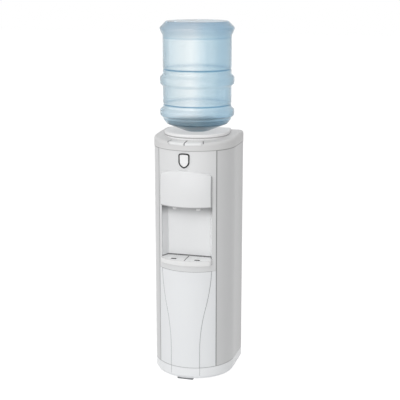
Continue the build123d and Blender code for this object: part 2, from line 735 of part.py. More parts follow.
def alcove_plan(outset):
    """The alcove seen from above: a flat back and two oblique sides, widened by a wall."""
    with BuildSketch() as plan:
        with BuildLine():
            half = Polyline((0, ALCOVE_BACK_Y), (ALCOVE_BACK_HALF, ALCOVE_BACK_Y),
                            (ALCOVE_MOUTH_HALF, MOUTH_Y), (ALCOVE_MOUTH_HALF, -CABINET_WIDTH),
                            (0, -CABINET_WIDTH))
            mirror(about=Plane.YZ)
        make_face()
        if outset:
            offset(amount=outset)
    return plan.sketch


# Alcove liner: the moulded recess with its roof over the nozzles and a pocket for the tray
with BuildPart() as alcove_liner:
    with BuildSketch(Plane.XY.offset(OPENING_LOW_Z - ALCOVE_WALL)):
        add(alcove_plan(ALCOVE_WALL))
        Circle(FRONT_R - FRONT_SKIN - CLEAR, mode=Mode.INTERSECT)
    extrude(amount=ALCOVE_ROOF_Z - OPENING_LOW_Z + 2 * ALCOVE_WALL)
    with BuildSketch(Plane.XY.offset(OPENING_LOW_Z)):
        add(alcove_plan(0))
    extrude(amount=ALCOVE_ROOF_Z - OPENING_LOW_Z, mode=Mode.SUBTRACT)
    with BuildSketch(Plane.XY.offset(ALCOVE_ROOF_Z)):
        with Locations((-TAP_X, TAP_Y), (TAP_X, TAP_Y)):
            Circle(NOZZLE_R + CLEAR)
    extrude(amount=2 * ALCOVE_WALL, mode=Mode.SUBTRACT)
export(alcove_liner.part, "alcove_liner")


def shield(inset):
    """The badge's outline in front view: arched top, cut shoulders, sides drawn to a point."""
    half = BADGE_WIDTH / 2
    top = BADGE_Z + BADGE_TALL / 2
    shoulder_x = half * SHIELD_SHOULDER
    shoulder_z = top - (half - shoulder_x)
    waist_z = top - BADGE_TALL * SHIELD_STRAIGHT
    with BuildSketch(Plane.XZ) as outline:
        with BuildLine():
            arch = ThreePointArc((-shoulder_x, top - SHIELD_ARCH), (0, top),
                                 (shoulder_x, top - SHIELD_ARCH))
            side = Polyline(arch @ 1, (half, shoulder_z - SHIELD_ARCH), (half, waist_z))
            TangentArc((half, waist_z), (0, top - BADGE_TALL), tangent=(0, -1))
            Polyline(arch @ 0, (-half, shoulder_z - SHIELD_ARCH), (-half, waist_z))
            TangentArc((-half, waist_z), (0, top - BADGE_TALL), tangent=(0, -1))
        make_face()
        if inset:
            offset(amount=-inset)
    return outline.sketch


# Badge: a bright border and a plain plate
with BuildPart() as badge_bezel:
    with BuildSketch(Plane.XZ):
        add(shield(0))
        add(shield(BADGE_BORDER), mode=Mode.SUBTRACT)
    extrude(amount=CABINET_WIDTH)
    add(front_slab(FRONT_R, FRONT_R + BADGE_PROUD, PANEL_HALF, MID_SEAM_Z, COVER_Z),
        mode=Mode.INTERSECT)
export(badge_bezel.part, "badge_bezel")

with BuildPart() as badge_plate:
    with BuildSketch(Plane.XZ):
        add(shield(BADGE_BORDER))
    extrude(amount=CABINET_WIDTH)
    add(front_slab(FRONT_R, FRONT_R + BADGE_PLATE_PROUD, PANEL_HALF, MID_SEAM_Z, COVER_Z),
        mode=Mode.INTERSECT)
export(badge_plate.part, "badge_plate")


def tray_plan(inset):
    """The drip tray seen from above, filling the alcove and bowed out past the front."""
    half = ALCOVE_MOUTH_HALF - TRAY_GAP
    with BuildSketch() as plan:
        add(alcove_plan(0))
        offset(amount=-TRAY_GAP)
        with Locations((0, TRAY_FRONT_Y + TRAY_FRONT_R)):
            Circle(TRAY_FRONT_R, mode=Mode.INTERSECT)
        fillet(plan.vertices().group_by(Axis.X)[0].sort_by(Axis.Y)[0], TRAY_CORNER_R)
        fillet(plan.vertices().group_by(Axis.X)[-1].sort_by(Axis.Y)[0], TRAY_CORNER_R)
        if inset:
            offset(amount=-inset)
    return plan.sketch


def grille_plan():
    """The recess that the drip plates lie in: the tray's plan inside its wall and front lip."""
    with BuildSketch() as plan:
        add(tray_plan(TRAY_WALL))
        with Locations((0, TRAY_FRONT_Y + TRAY_FRONT_R)):
            Circle(TRAY_FRONT_R - TRAY_LIP, mode=Mode.INTERSECT)
    return plan.sketch


# Drip tray: a shallow pan with a ledge and a middle rib under the two plates
with BuildPart() as drip_tray:
    with BuildSketch(Plane.XY.offset(TRAY_LOW_Z)):
        add(tray_plan(0))
    extrude(amount=TRAY_TOP_Z - TRAY_LOW_Z)
    fillet(drip_tray.edges().group_by(Axis.Z)[0], TRAY_EDGE_R)
    with BuildSketch(Plane.XY.offset(TRAY_TOP_Z)):
        add(grille_plan())
    extrude(amount=-GRILLE_THICK, mode=Mode.SUBTRACT)
    with BuildSketch(Plane.XY.offset(TRAY_TOP_Z - GRILLE_THICK)):
        add(grille_plan())
        offset(amount=-GRILLE_LEDGE)
        Rectangle(TRAY_WALL, 2 * CABINET_WIDTH, mode=Mode.SUBTRACT)
    extrude(amount=TRAY_LOW_Z + TRAY_WALL + TRAY_EDGE_R / 2 - TRAY_TOP_Z + GRILLE_THICK,
            mode=Mode.SUBTRACT)
export(drip_tray.part, "drip_tray")


def drip_plate(side):
    """One half of the tray's cover, with a drain hole under its nozzle."""
    with BuildPart() as plate:
        with BuildSketch(Plane.XY.offset(TRAY_TOP_Z - GRILLE_THICK + PLATE_SEAT)):
            add(grille_plan())
            offset(amount=-CLEAR)
            with Locations((side * (CABINET_WIDTH / 2 + PLATE_PARTING / 2), 0)):
                Rectangle(CABINET_WIDTH, 2 * CABINET_WIDTH, mode=Mode.INTERSECT)
            with Locations((side * TAP_X, DRAIN_HOLE_Y)):
                SlotOverall(DRAIN_HOLE_WIDTH, DRAIN_HOLE_DEPTH, mode=Mode.SUBTRACT)
        extrude(amount=GRILLE_THICK - PLATE_SEAT)
        # a groove leads from the rear edge to the hole
        with BuildSketch(Plane.XY.offset(TRAY_TOP_Z)):
            with Locations((side * TAP_X, (DRAIN_HOLE_Y + ALCOVE_BACK_Y) / 2)):
                Rectangle(PLATE_GROOVE, ALCOVE_BACK_Y - DRAIN_HOLE_Y)
        extrude(amount=-PLATE_GROOVE_DEEP, mode=Mode.SUBTRACT)
    return plate.part


export(drip_plate(-1), "left_drip_plate")
export(drip_plate(1), "right_drip_plate")


def tap_body(side):
    """A tap: valve chamber, nozzle and inlet tail, with two ears that carry the lever's pin."""
    x = side * TAP_X
    with BuildPart() as body:
        with BuildSketch(Plane.XY.offset(TAP_SEAT_Z)):
            with Locations((x, TAP_Y)):
                Circle(TAP_BODY_R)
        extrude(amount=TAP_BODY_TOP_Z - TAP_SEAT_Z)
        with BuildSketch(Plane.XY.offset(NOZZLE_LOW_Z)):
            with Locations((x, TAP_Y)):
                Circle(NOZZLE_R)
        extrude(amount=TAP_SEAT_Z - NOZZLE_LOW_Z)
        with BuildSketch(Plane.XZ.offset(-TAP_TAIL_END_Y)):
            with Locations((x, TAP_TAIL_Z)):
                Circle(TAP_TAIL_R)
        extrude(amount=TAP_TAIL_END_Y - TAP_Y)
        # the ears stand on a step in front of the chamber
        with BuildSketch(Plane.XY.offset(TAP_BODY_TOP_Z - EAR_FOOT)):
            with Locations((x, (LEVER_PIVOT_Y + TAP_Y) / 2)):
                Rectangle(2 * EAR_OUTER, TAP_Y - LEVER_PIVOT_Y + 2 * EAR_R)
        extrude(amount=EAR_FOOT)
        with BuildSketch(Plane.YZ.offset(x - EAR_OUTER)):
            with Locations((LEVER_PIVOT_Y, LEVER_Z)):
                Circle(EAR_R)
            with Locations((LEVER_PIVOT_Y, (TAP_BODY_TOP_Z + LEVER_Z) / 2)):
                Rectangle(2 * EAR_R, LEVER_Z - TAP_BODY_TOP_Z)
        extrude(amount=2 * EAR_OUTER)
        with BuildSketch(Plane.YZ.offset(x - EAR_INNER)):
            with Locations((LEVER_PIVOT_Y, LEVER_Z)):
                Rectangle(4 * EAR_R, 2 * (LEVER_Z - TAP_BODY_TOP_Z))
        extrude(amount=2 * EAR_INNER, mode=Mode.SUBTRACT)
        with BuildSketch(Plane.YZ.offset(x - EAR_INNER)):
            with Locations((LEVER_PIVOT_Y, LEVER_Z)):
                Circle(LEVER_PIN_R)
        extrude(amount=2 * EAR_INNER)
        # chamber, seat, spout bore and the stem's guide
        with BuildSketch(Plane.XY.offset(TAP_SEAT_Z + SEAT_THICK)):
            with Locations((x, TAP_Y)):
                Circle(TAP_BODY_R - TAP_WALL)
        extrude(amount=TAP_BODY_TOP_Z - TAP_SEAT_Z - 2 * SEAT_THICK, mode=Mode.SUBTRACT)
        with BuildSketch(Plane.XY.offset(NOZZLE_LOW_Z)):
            with Locations((x, TAP_Y)):
                Circle(NOZZLE_BORE_R)
        extrude(amount=TAP_SEAT_Z - NOZZLE_LOW_Z + SEAT_THICK, mode=Mode.SUBTRACT)
        with BuildSketch(Plane.XY.offset(TAP_BODY_TOP_Z - SEAT_THICK)):
            with Locations((x, TAP_Y)):
                Circle(STEM_R + RUNNING)
        extrude(amount=2 * SEAT_THICK, mode=Mode.SUBTRACT)
        with BuildSketch(Plane.XZ.offset(-TAP_TAIL_END_Y)):
            with Locations((x, TAP_TAIL_Z)):
                Circle(WATER_TUBE_R + HALF_RUNNING)
        extrude(amount=TAP_TAIL_END_Y - TAP_Y - TAP_BODY_R + TAP_WALL, mode=Mode.SUBTRACT)
    return body.part


def plunger(side):
    """The valve stem: a soft plug on the seat, and a head above the lever's fork."""
    x = side * TAP_X
    plug_z = TAP_SEAT_Z + SEAT_THICK + CLEAR
    head_z = LEVER_Z + LEVER_END_R + CLEAR
    with BuildPart() as stem:
        with BuildSketch(Plane.XY.offset(plug_z)):
            with Locations((x, TAP_Y)):
                Circle(PLUG_R)
        extrude(amount=PLUG_TALL, taper=PLUG_TAPER)
        with BuildSketch(Plane.XY.offset(plug_z)):
            with Locations((x, TAP_Y)):
                Circle(STEM_R)
        extrude(amount=head_z - plug_z)
        with BuildSketch(Plane.XY.offset(head_z)):
            with Locations((x, TAP_Y)):
                Circle(HEAD_R)
        extrude(amount=HEAD_TALL)
    return stem.part


def tap_lever(side):
    """A rocker on the tap's pin: the rod presses one round end, the fork lifts the stem."""
    x = side * TAP_X
    with BuildPart() as lever:
        with BuildSketch(Plane.YZ.offset(x - LEVER_HALF)):
            with Locations((ROD_Y, LEVER_Z), (TAP_Y, LEVER_Z)):
                Circle(LEVER_END_R)
            with Locations(((ROD_Y + TAP_Y) / 2, LEVER_Z)):
                Rectangle(TAP_Y - ROD_Y, LEVER_END_R * LEVER_WEB)
            with Locations((LEVER_PIVOT_Y, LEVER_Z)):
                Circle(LEVER_BOSS_R)
                Circle(LEVER_PIN_R + RUNNING, mode=Mode.SUBTRACT)
        extrude(amount=2 * LEVER_HALF)
        with BuildSketch(Plane.XY.offset(LEVER_Z - LEVER_BOSS_R)):
            with Locations((x, TAP_Y)):
                Rectangle(2 * (STEM_R + CLEAR), 2 * (STEM_R + FORK_ROOM))
        extrude(amount=2 * LEVER_BOSS_R, mode=Mode.SUBTRACT)
    return lever.part


def push_rod(side):
    """The rod from the button down to the lever, with a collar for its return spring."""
    x = side * TAP_X
    foot_z = LEVER_Z + LEVER_END_R + CLEAR
    with BuildPart() as rod:
        with BuildSketch(Plane.XY.offset(foot_z)):
            with Locations((x, ROD_Y)):
                Circle(ROD_TIP_R)
        extrude(amount=ROD_TIP_TALL)
        with BuildSketch(Plane.XY.offset(foot_z + ROD_TIP_TALL)):
            with Locations((x, ROD_Y)):
                Circle(ROD_R)
        extrude(amount=ROD_TOP_Z - foot_z - ROD_TIP_TALL)
        with BuildSketch(Plane.XY.offset(SPRING_TOP_Z)):
            with Locations((x, ROD_Y)):
                Circle(ROD_COLLAR_R)
        extrude(amount=ROD_COLLAR_TALL)
    return rod.part


def rod_spring(side):
    """The return spring between the panel's ear and the rod's collar."""
    x = side * TAP_X
    low = ROD_GUIDE_Z + ROD_EAR_TALL
    length = SPRING_TOP_Z - low - SPRING_WIRE
    with BuildPart() as spring:
        with BuildLine():
            coil = Helix(length / SPRING_TURNS, length, SPRING_R,
                         center=(x, ROD_Y, low + SPRING_WIRE / 2))
        start = Plane(origin=coil @ 0, z_dir=coil % 0)
        with BuildSketch(start):
            Rectangle(SPRING_WIRE, SPRING_WIRE)
        sweep(is_frenet=True)
    return spring.part


for name, side in TAP_SIDES.items():
    export(tap_body(side), f"{name}_tap_body")
    export(plunger(side), f"{name}_plunger")
    export(tap_lever(side), f"{name}_tap_lever")
    export(push_rod(side), f"{name}_push_rod")
    export(rod_spring(side), f"{name}_rod_spring")


def cover_form(inset):
    """The top cover's rounded, gently crowned form, or its hollow a wall inside."""
    half = FRONT_R + COVER_PROUD
    with BuildPart() as form:
        with BuildSketch(Plane.XY.offset(COVER_Z)):
            add(cabinet_plan(inset - COVER_PROUD))
        extrude(amount=COVER_REAR_Z - COVER_Z + COVER_EDGE_R)
        with BuildSketch(Plane.YZ.offset(-FRONT_R * 2)):
            with BuildLine():
                crown = ThreePointArc((-half, COVER_FRONT_Z - inset), (0, COVER_MIDDLE_Z - inset),
                                      (half, COVER_REAR_Z - inset))
                Polyline(crown @ 1, (half, COVER_Z), (-half, COVER_Z), crown @ 0)
            make_face()
        extrude(amount=FRONT_R * 4, mode=Mode.INTERSECT)
        fillet(form.faces().sort_by(Axis.Z)[-1].edges(), COVER_EDGE_R - inset)
    return form.part


def button_well(low, shrink):
    """The space of one button seen from above, as a tall block on the right-hand side."""
    with BuildPart() as well:
        with BuildSketch(Plane.XY.offset(low)):
            with BuildLine():
                Polyline((0, BUTTON_REAR_Y), (BUTTON_REAR_X, BUTTON_REAR_Y),
                         (BUTTON_FRONT_X, -CABINET_WIDTH), (0, -CABINET_WIDTH), close=True)
            make_face()
            if shrink:
                offset(amount=-shrink)
        extrude(amount=COVER_REAR_Z - low + COVER_EDGE_R)
    return well.part


COVER = cover_form(0)
COVER_HOLLOW = cover_form(COVER_WALL)
BUTTON_HOLLOW = cover_form(BUTTON_WALL)

# Top cover: a crowned shell with wells for the buttons and a wide mouth under the collar
with BuildPart() as top_cover:
    add(COVER)
    add(COVER_HOLLOW, mode=Mode.SUBTRACT)
    well = button_well(BUTTON_LOW_Z - BUTTON_DROP_GAP, 0)
    add(well, mode=Mode.SUBTRACT)
    add(mirror(well, about=Plane.YZ, mode=Mode.PRIVATE), mode=Mode.SUBTRACT)
    with BuildSketch(Plane.XY.offset(COVER_Z)):
        with Locations((0, BOTTLE_Y)):
            Circle(COVER_HOLE_R)
    extrude(amount=2 * COVER_REAR_Z - 2 * COVER_Z, mode=Mode.SUBTRACT)
    # bearings for the buttons' pins, hung from the cover behind the wells
    with BuildSketch(Plane.XY.offset(BEARING_LOW_Z)):
        with Locations(*[(x, BUTTON_HINGE_Y) for x in BEARING_X]):
            Rectangle(BEARING_WIDTH, BEARING_DEPTH)
    extrude(amount=BEARING_TOP_Z - BEARING_LOW_Z)
    with BuildSketch(Plane.YZ.offset(BEARING_X[0] - BEARING_WIDTH)):
        with Locations((BUTTON_HINGE_Y, BUTTON_HINGE_Z)):
            Circle(BUTTON_PIN_R + RUNNING)
    extrude(amount=2 * (BEARING_X[-1] + BEARING_WIDTH), mode=Mode.SUBTRACT)
export(top_cover.part, "top_cover")


def push_button(side):
    """A button cut from the cover's own form, with a pin at its rear and a foot over the rod."""
    with BuildPart() as button:
        add(COVER)
        add(BUTTON_HOLLOW, mode=Mode.SUBTRACT)
        add(button_well(BUTTON_LOW_Z, BUTTON_GAP), mode=Mode.INTERSECT)
        # lugs run back under the cover to the hinge pin
        for x in LUG_X:
            with BuildSketch(Plane.YZ.offset(x - LUG_WIDTH / 2)):
                with BuildLine():
                    Polyline((LUG_REAR_Y, LUG_LOW_Z), (LUG_REAR_Y, LUG_TOP_Z), (LUG_STEP_Y, LUG_TOP_Z),
                             (LUG_STEP_Y, LUG_ROOT_Z), (LUG_FRONT_Y, LUG_ROOT_Z),
                             (LUG_FRONT_Y, LUG_LOW_Z), close=True)
                make_face()
            extrude(amount=LUG_WIDTH)
        with BuildSketch(Plane.YZ.offset(LUG_X[0] - LUG_WIDTH / 2)):
            with Locations((BUTTON_HINGE_Y, BUTTON_HINGE_Z)):
                Circle(BUTTON_PIN_R)
        extrude(amount=LUG_X[1] - LUG_X[0] + LUG_WIDTH)
        with BuildSketch(Plane.XY.offset(ROD_TOP_Z + CLEAR)):
            with Locations((TAP_X, ROD_Y)):
                Rectangle(2 * FOOT_PAD_HALF, 2 * FOOT_PAD_HALF)
        extrude(amount=FOOT_PAD_TALL)
        # a skirt inside the cover's wall closes the view under the front edge
        with BuildSketch(Plane.XY.offset(SKIRT_LOW_Z)):
            Circle(SKIRT_OUTER_R)
            Circle(SKIRT_INNER_R, mode=Mode.SUBTRACT)
            with Locations(((BUTTON_GAP + BUTTON_FRONT_X - SKIRT_TRIM) / 2, -FRONT_R)):
                Rectangle(BUTTON_FRONT_X - SKIRT_TRIM - BUTTON_GAP, FRONT_R, mode=Mode.INTERSECT)
        extrude(amount=SKIRT_TOP_Z - SKIRT_LOW_Z)
    if side < 0:
        return mirror(button.part, about=Plane.YZ)
    return button.part


for name, side in TAP_SIDES.items():
    export(push_button(side), f"{name}_button")

AXIS_PLANE = Plane(origin=(0, BOTTLE_Y, 0), x_dir=(1, 0, 0), z_dir=(0, -1, 0))
BOTTLE_AXIS = Axis((0, BOTTLE_Y, 0), (0, 0, 1))

# Bottle collar: a D-shaped raised deck that follows the cover, with a seat and a deep well
with BuildPart() as bottle_collar:
    with BuildSketch(Plane.XY.offset(COVER_Z)) as deck:
        with BuildLine():
            front = CenterArc((0, BOTTLE_Y), COLLAR_R, 180 - COLLAR_TURN, 180 + 2 * COLLAR_TURN)
            Polyline(front @ 1, (COLLAR_REAR_HALF, COLLAR_REAR_Y),
                     (-COLLAR_REAR_HALF, COLLAR_REAR_Y), front @ 0)
        make_face()
        fillet(deck.vertices().group_by(Axis.Y)[-1], COLLAR_CORNER_R)
    extrude(amount=COLLAR_DECK_Z - COVER_Z)
    fillet(bottle_collar.edges().group_by(Axis.Z)[-1], COLLAR_EDGE_R)
    add(COVER, mode=Mode.SUBTRACT)
    with BuildSketch(AXIS_PLANE):
        with BuildLine():
            Polyline((0, WELL_FLOOR_Z), (WELL_R + WELL_WALL, WELL_FLOOR_Z),
                     (WELL_R + WELL_WALL, SEAT_LOW_Z - WELL_WALL),
                     (COVER_HOLE_R - CLEAR, COLLAR_UNDER_Z), (COVER_HOLE_R - CLEAR, COLLAR_DECK_Z),
                     (COLLAR_RING_R, COLLAR_DECK_Z), (COLLAR_STEP_R, COLLAR_STEP_Z),
                     (COLLAR_LIP_R, COLLAR_STEP_Z), (COLLAR_MOUTH_R, COLLAR_RIM_Z),
                     (SHOULDER_R, COLLAR_RIM_Z), (SEAT_LOW_R, SEAT_LOW_Z),
                     (WELL_R, SEAT_LOW_Z - SEAT_LOW_R + WELL_R), (WELL_R, WELL_FLOOR_Z + WELL_WALL),
                     (0, WELL_FLOOR_Z + WELL_WALL), close=True)
        make_face()
    revolve(axis=BOTTLE_AXIS, revolution_arc=360)
    with BuildSketch(AXIS_PLANE):
        with BuildLine():
            Polyline((0, WELL_FLOOR_Z + WELL_WALL), (WELL_R, WELL_FLOOR_Z + WELL_WALL),
                     (WELL_R, SEAT_LOW_Z - SEAT_LOW_R + WELL_R), (SEAT_LOW_R, SEAT_LOW_Z),
                     (SHOULDER_R, COLLAR_RIM_Z), (0, COLLAR_RIM_Z), close=True)
        make_face()
    revolve(axis=BOTTLE_AXIS, revolution_arc=360, mode=Mode.SUBTRACT)
    with BuildSketch(Plane.XY.offset(WELL_FLOOR_Z)):
        with Locations((0, BOTTLE_Y)):
            Circle(PROBE_R)
    extrude(amount=WELL_WALL, mode=Mode.SUBTRACT)
export(bottle_collar.part, "bottle_collar")

# Feed probe: a hollow spigot with a flange, side windows and a cone that opens the cap
with BuildPart() as feed_probe:
    with BuildSketch(AXIS_PLANE):
        with BuildLine():
            Polyline((PROBE_BORE_R, PROBE_LOW_Z), (PROBE_R, PROBE_LOW_Z),
                     (PROBE_R, WELL_FLOOR_Z + WELL_WALL),
                     (PROBE_FLANGE_R, WELL_FLOOR_Z + WELL_WALL),
                     (PROBE_FLANGE_R, WELL_FLOOR_Z + 2 * WELL_WALL),
                     (PROBE_R, WELL_FLOOR_Z + 2 * WELL_WALL), (PROBE_R, PROBE_SHOULDER_Z),
                     (0, PROBE_TOP_Z), (0, PROBE_SHOULDER_Z), (PROBE_BORE_R, PROBE_SHOULDER_Z - WELL_WALL),
                     close=True)
        make_face()
    revolve(axis=BOTTLE_AXIS, revolution_arc=360)
    with BuildSketch(Plane.XZ.offset(-BOTTLE_Y)):
        with Locations((0, PROBE_SHOULDER_Z - PROBE_WINDOW_TALL)):
            Rectangle(PROBE_WINDOW_WIDTH, PROBE_WINDOW_TALL)
    extrude(amount=2 * PROBE_R, both=True, mode=Mode.SUBTRACT)
export(feed_probe.part, "feed_probe")


def rib(middle, share):
    """The corners of a rib that slopes out from the bottle's side to a flat."""
    middle_z = SHOULDER_Z + middle * BOTTLE_SIDE_TALL
    half = share * BOTTLE_SIDE_TALL / 2
    flat = half * RIB_FLAT
    return [(BOTTLE_R, middle_z - half), (BOTTLE_RIB_R, middle_z - flat),
            (BOTTLE_RIB_R, middle_z + flat), (BOTTLE_R, middle_z + half)]


def groove(middle):
    """The corners of a shallow grip groove drawn into the bottle's side."""
    middle_z = SHOULDER_Z + middle * BOTTLE_SIDE_TALL
    half = GROOVE_SHARE * BOTTLE_SIDE_TALL / 2
    return [(BOTTLE_R, middle_z - half), (BOTTLE_R - GROOVE_DEEP, middle_z), (BOTTLE_R, middle_z + half)]


# Bottle: a blown shell, upside down, with two ribs, two grooves, a drawn-in shoulder and a chamfered crown
with BuildPart() as bottle:
    with BuildSketch(AXIS_PLANE) as blown:
        with BuildLine():
            Polyline((0, NECK_LOW_Z), (NECK_R, NECK_LOW_Z), (NECK_R, NECK_TOP_Z),
                     (SEAT_LOW_R, SEAT_LOW_Z + SEAT_GAP), (SHOULDER_R, SHOULDER_LOW_Z),
                     (SHOULDER_MID_R, SHOULDER_MID_Z), (BOTTLE_R, SHOULDER_Z),
                     *rib(RIB_LOWER_AT, RIB_LOWER_SHARE), *groove(GROOVE_LOWER_AT),
                     *rib(RIB_UPPER_AT, RIB_UPPER_SHARE), *groove(GROOVE_UPPER_AT),
                     (BOTTLE_R, BOTTLE_TOP_Z - WAIST_DROP),
                     (BOTTLE_CROWN_R, BOTTLE_TOP_Z - CROWN_LOW_DROP),
                     (BOTTLE_CROWN_R, BOTTLE_TOP_Z - CROWN_TOP_DROP),
                     (BOTTLE_TOP_R, BOTTLE_TOP_Z), (0, BOTTLE_TOP_Z), close=True)
        make_face()
        mirror(about=Plane.YZ)
        offset(amount=-BOTTLE_WALL, kind=Kind.INTERSECTION, mode=Mode.SUBTRACT)
        with Locations((0, NECK_LOW_Z)):
            Rectangle(2 * (NECK_R - BOTTLE_WALL), 2 * CAP_TALL, mode=Mode.SUBTRACT)
        with Locations((FRONT_R, BOTTLE_TOP_Z / 2)):
            Rectangle(2 * FRONT_R, 2 * BOTTLE_TOP_Z, mode=Mode.INTERSECT)
    revolve(axis=BOTTLE_AXIS, revolution_arc=360)
export(bottle.part, "bottle")

# Cap: a snap-on cup round the neck, pierced by the probe
with BuildPart() as bottle_cap:
    with BuildSketch(AXIS_PLANE):
        with BuildLine():
            Polyline((PROBE_R + CAP_ROOM, NECK_LOW_Z - CAP_WALL), (NECK_R + CAP_WALL, NECK_LOW_Z - CAP_WALL),
                     (NECK_R + CAP_WALL, NECK_LOW_Z + CAP_SKIRT), (NECK_R, NECK_LOW_Z + CAP_SKIRT),
                     (NECK_R, NECK_LOW_Z), (PROBE_R + CAP_ROOM, NECK_LOW_Z), close=True)
        make_face()
    revolve(axis=BOTTLE_AXIS, revolution_arc=360)
export(bottle_cap.part, "bottle_cap")

# Cold tank: a drawn steel pot with a foot hole for the feed and a side hole for the cold tap
with BuildPart() as cold_tank:
    with BuildSketch(Plane.XY.offset(COLD_TANK_LOW_Z)):
        with Locations((0, BOTTLE_Y)):
            Circle(COLD_TANK_R)
    extrude(amount=COLD_TANK_TOP_Z - COLD_TANK_LOW_Z)
    offset(amount=-TANK_SHEET, openings=cold_tank.faces().sort_by(Axis.Z)[-1])
    with BuildSketch(Plane.XY.offset(COLD_TANK_LOW_Z)):
        with Locations((0, BOTTLE_Y)):
            Circle(FEED_TUBE_R)
    extrude(amount=TANK_SHEET, mode=Mode.SUBTRACT)
    with BuildSketch(Plane.XZ.offset(-BOTTLE_Y)):
        with Locations((TAP_X, TAP_TAIL_Z)):
            Circle(WATER_TUBE_R)
    extrude(amount=COLD_TANK_R, mode=Mode.SUBTRACT)
export(cold_tank.part, "cold_tank")

# Tank lid: closes the pot, centres the collar's well and lets the probe through
with BuildPart() as tank_lid:
    with BuildSketch(Plane.XY.offset(COLD_TANK_TOP_Z)):
        with Locations((0, BOTTLE_Y)):
            Circle(COLD_TANK_R + LID_OVER)
    extrude(amount=LID_THICK)
    with BuildSketch(Plane.XY.offset(COLD_TANK_TOP_Z - LID_THICK)):
        with Locations((0, BOTTLE_Y)):
            Circle(COLD_TANK_R - TANK_SHEET)
    extrude(amount=LID_THICK)
    with BuildSketch(Plane.XY.offset(COLD_TANK_TOP_Z + LID_THICK)):
        with Locations((0, BOTTLE_Y)):
            Circle(WELL_R + WELL_WALL)
            Circle(WELL_R, mode=Mode.SUBTRACT)
    extrude(amount=WELL_FLOOR_Z - COLD_TANK_TOP_Z - LID_THICK)
    with Locations((0, BOTTLE_Y, COLD_TANK_TOP_Z)):
        Hole(PROBE_R)
export(tank_lid.part, "tank_lid")

# Evaporator: the cooling coil round the pot, as one sleeve of soldered turns
with BuildPart() as evaporator_coil:
    with BuildSketch(AXIS_PLANE):
        with Locations((COLD_TANK_R + COIL_TUBE_R / 2, COIL_LOW_Z + (COIL_TURNS - 1) * COIL_PITCH / 2)):
            Rectangle(COIL_TUBE_R, COIL_TURNS * COIL_PITCH)
        with Locations(*[(COLD_TANK_R + COIL_TUBE_R, COIL_LOW_Z + turn * COIL_PITCH)
                         for turn in range(COIL_TURNS)]):
            Circle(COIL_TUBE_R)
    revolve(axis=BOTTLE_AXIS, revolution_arc=360)
export(evaporator_coil.part, "evaporator_coil")

# Foam jacket: two half shells round the pot and its coil
with BuildPart() as cold_jacket:
    with BuildSketch(AXIS_PLANE):
        with BuildLine():
            Polyline((FEED_TUBE_R + CLEAR, COLD_JACKET_LOW_Z), (JACKET_R, COLD_JACKET_LOW_Z),
                     (JACKET_R, COLD_TANK_TOP_Z), (COIL_OUTER_R, COLD_TANK_TOP_Z),
                     (COIL_OUTER_R, COLD_TANK_LOW_Z), (FEED_TUBE_R + CLEAR, COLD_TANK_LOW_Z), close=True)
        make_face()
    revolve(axis=BOTTLE_AXIS, revolution_arc=360)
    with BuildSketch(Plane.XY.offset(COLD_JACKET_LOW_Z)):
        with Locations((0, BOTTLE_Y)):
            Rectangle(4 * JACKET_R, JACKET_PARTING)
        with Locations(*LINE_PLACES):
            Circle(PIPE_R + CLEAR)
    extrude(amount=COLD_TANK_TOP_Z - COLD_JACKET_LOW_Z, mode=Mode.SUBTRACT)
    with BuildSketch(Plane.XZ.offset(-BOTTLE_Y)):
        with Locations((TAP_X, TAP_TAIL_Z)):
            Circle(WATER_TUBE_R + CLEAR)
    extrude(amount=2 * JACKET_R, mode=Mode.SUBTRACT)
export(cold_jacket.part, "cold_tank_jacket")


# Hot tank: a welded steel can, with holes for the feed, the hot line and the drain
with BuildPart() as hot_tank:
    with BuildSketch(AXIS_PLANE):
        with Locations((HOT_TANK_R / 2, HOT_TANK_LOW_Z + HOT_TANK_TALL / 2)):
            Rectangle(HOT_TANK_R, HOT_TANK_TALL)
        with Locations(((HOT_TANK_R - TANK_SHEET) / 2, HOT_TANK_LOW_Z + HOT_TANK_TALL / 2)):
            Rectangle(HOT_TANK_R - TANK_SHEET, HOT_TANK_TALL - 2 * TANK_SHEET, mode=Mode.SUBTRACT)
    revolve(axis=BOTTLE_AXIS, revolution_arc=360)
    with BuildSketch(Plane.XY.offset(HOT_TANK_TOP_Z - TANK_SHEET)):
        with Locations((0, BOTTLE_Y)):
            Circle(FEED_TUBE_R)
        with Locations(HOT_LINE_START):
            Circle(WATER_TUBE_R)
    extrude(amount=TANK_SHEET, mode=Mode.SUBTRACT)
    with BuildSketch(Plane.XY.offset(HOT_TANK_LOW_Z)):
        with Locations((0, BOTTLE_Y)):
            Circle(WATER_TUBE_R)
    extrude(amount=TANK_SHEET, mode=Mode.SUBTRACT)
export(hot_tank.part, "hot_tank")

# Heater: a band clamped round the can
with BuildPart() as heater_band:
    with BuildSketch(Plane.XY.offset(HOT_TANK_LOW_Z + HEATER_LIFT)):
        with Locations((0, BOTTLE_Y)):
            Circle(HOT_TANK_R + HEATER_THICK)
            Circle(HOT_TANK_R, mode=Mode.SUBTRACT)
    extrude(amount=HEATER_TALL)
export(heater_band.part, "heater_band")

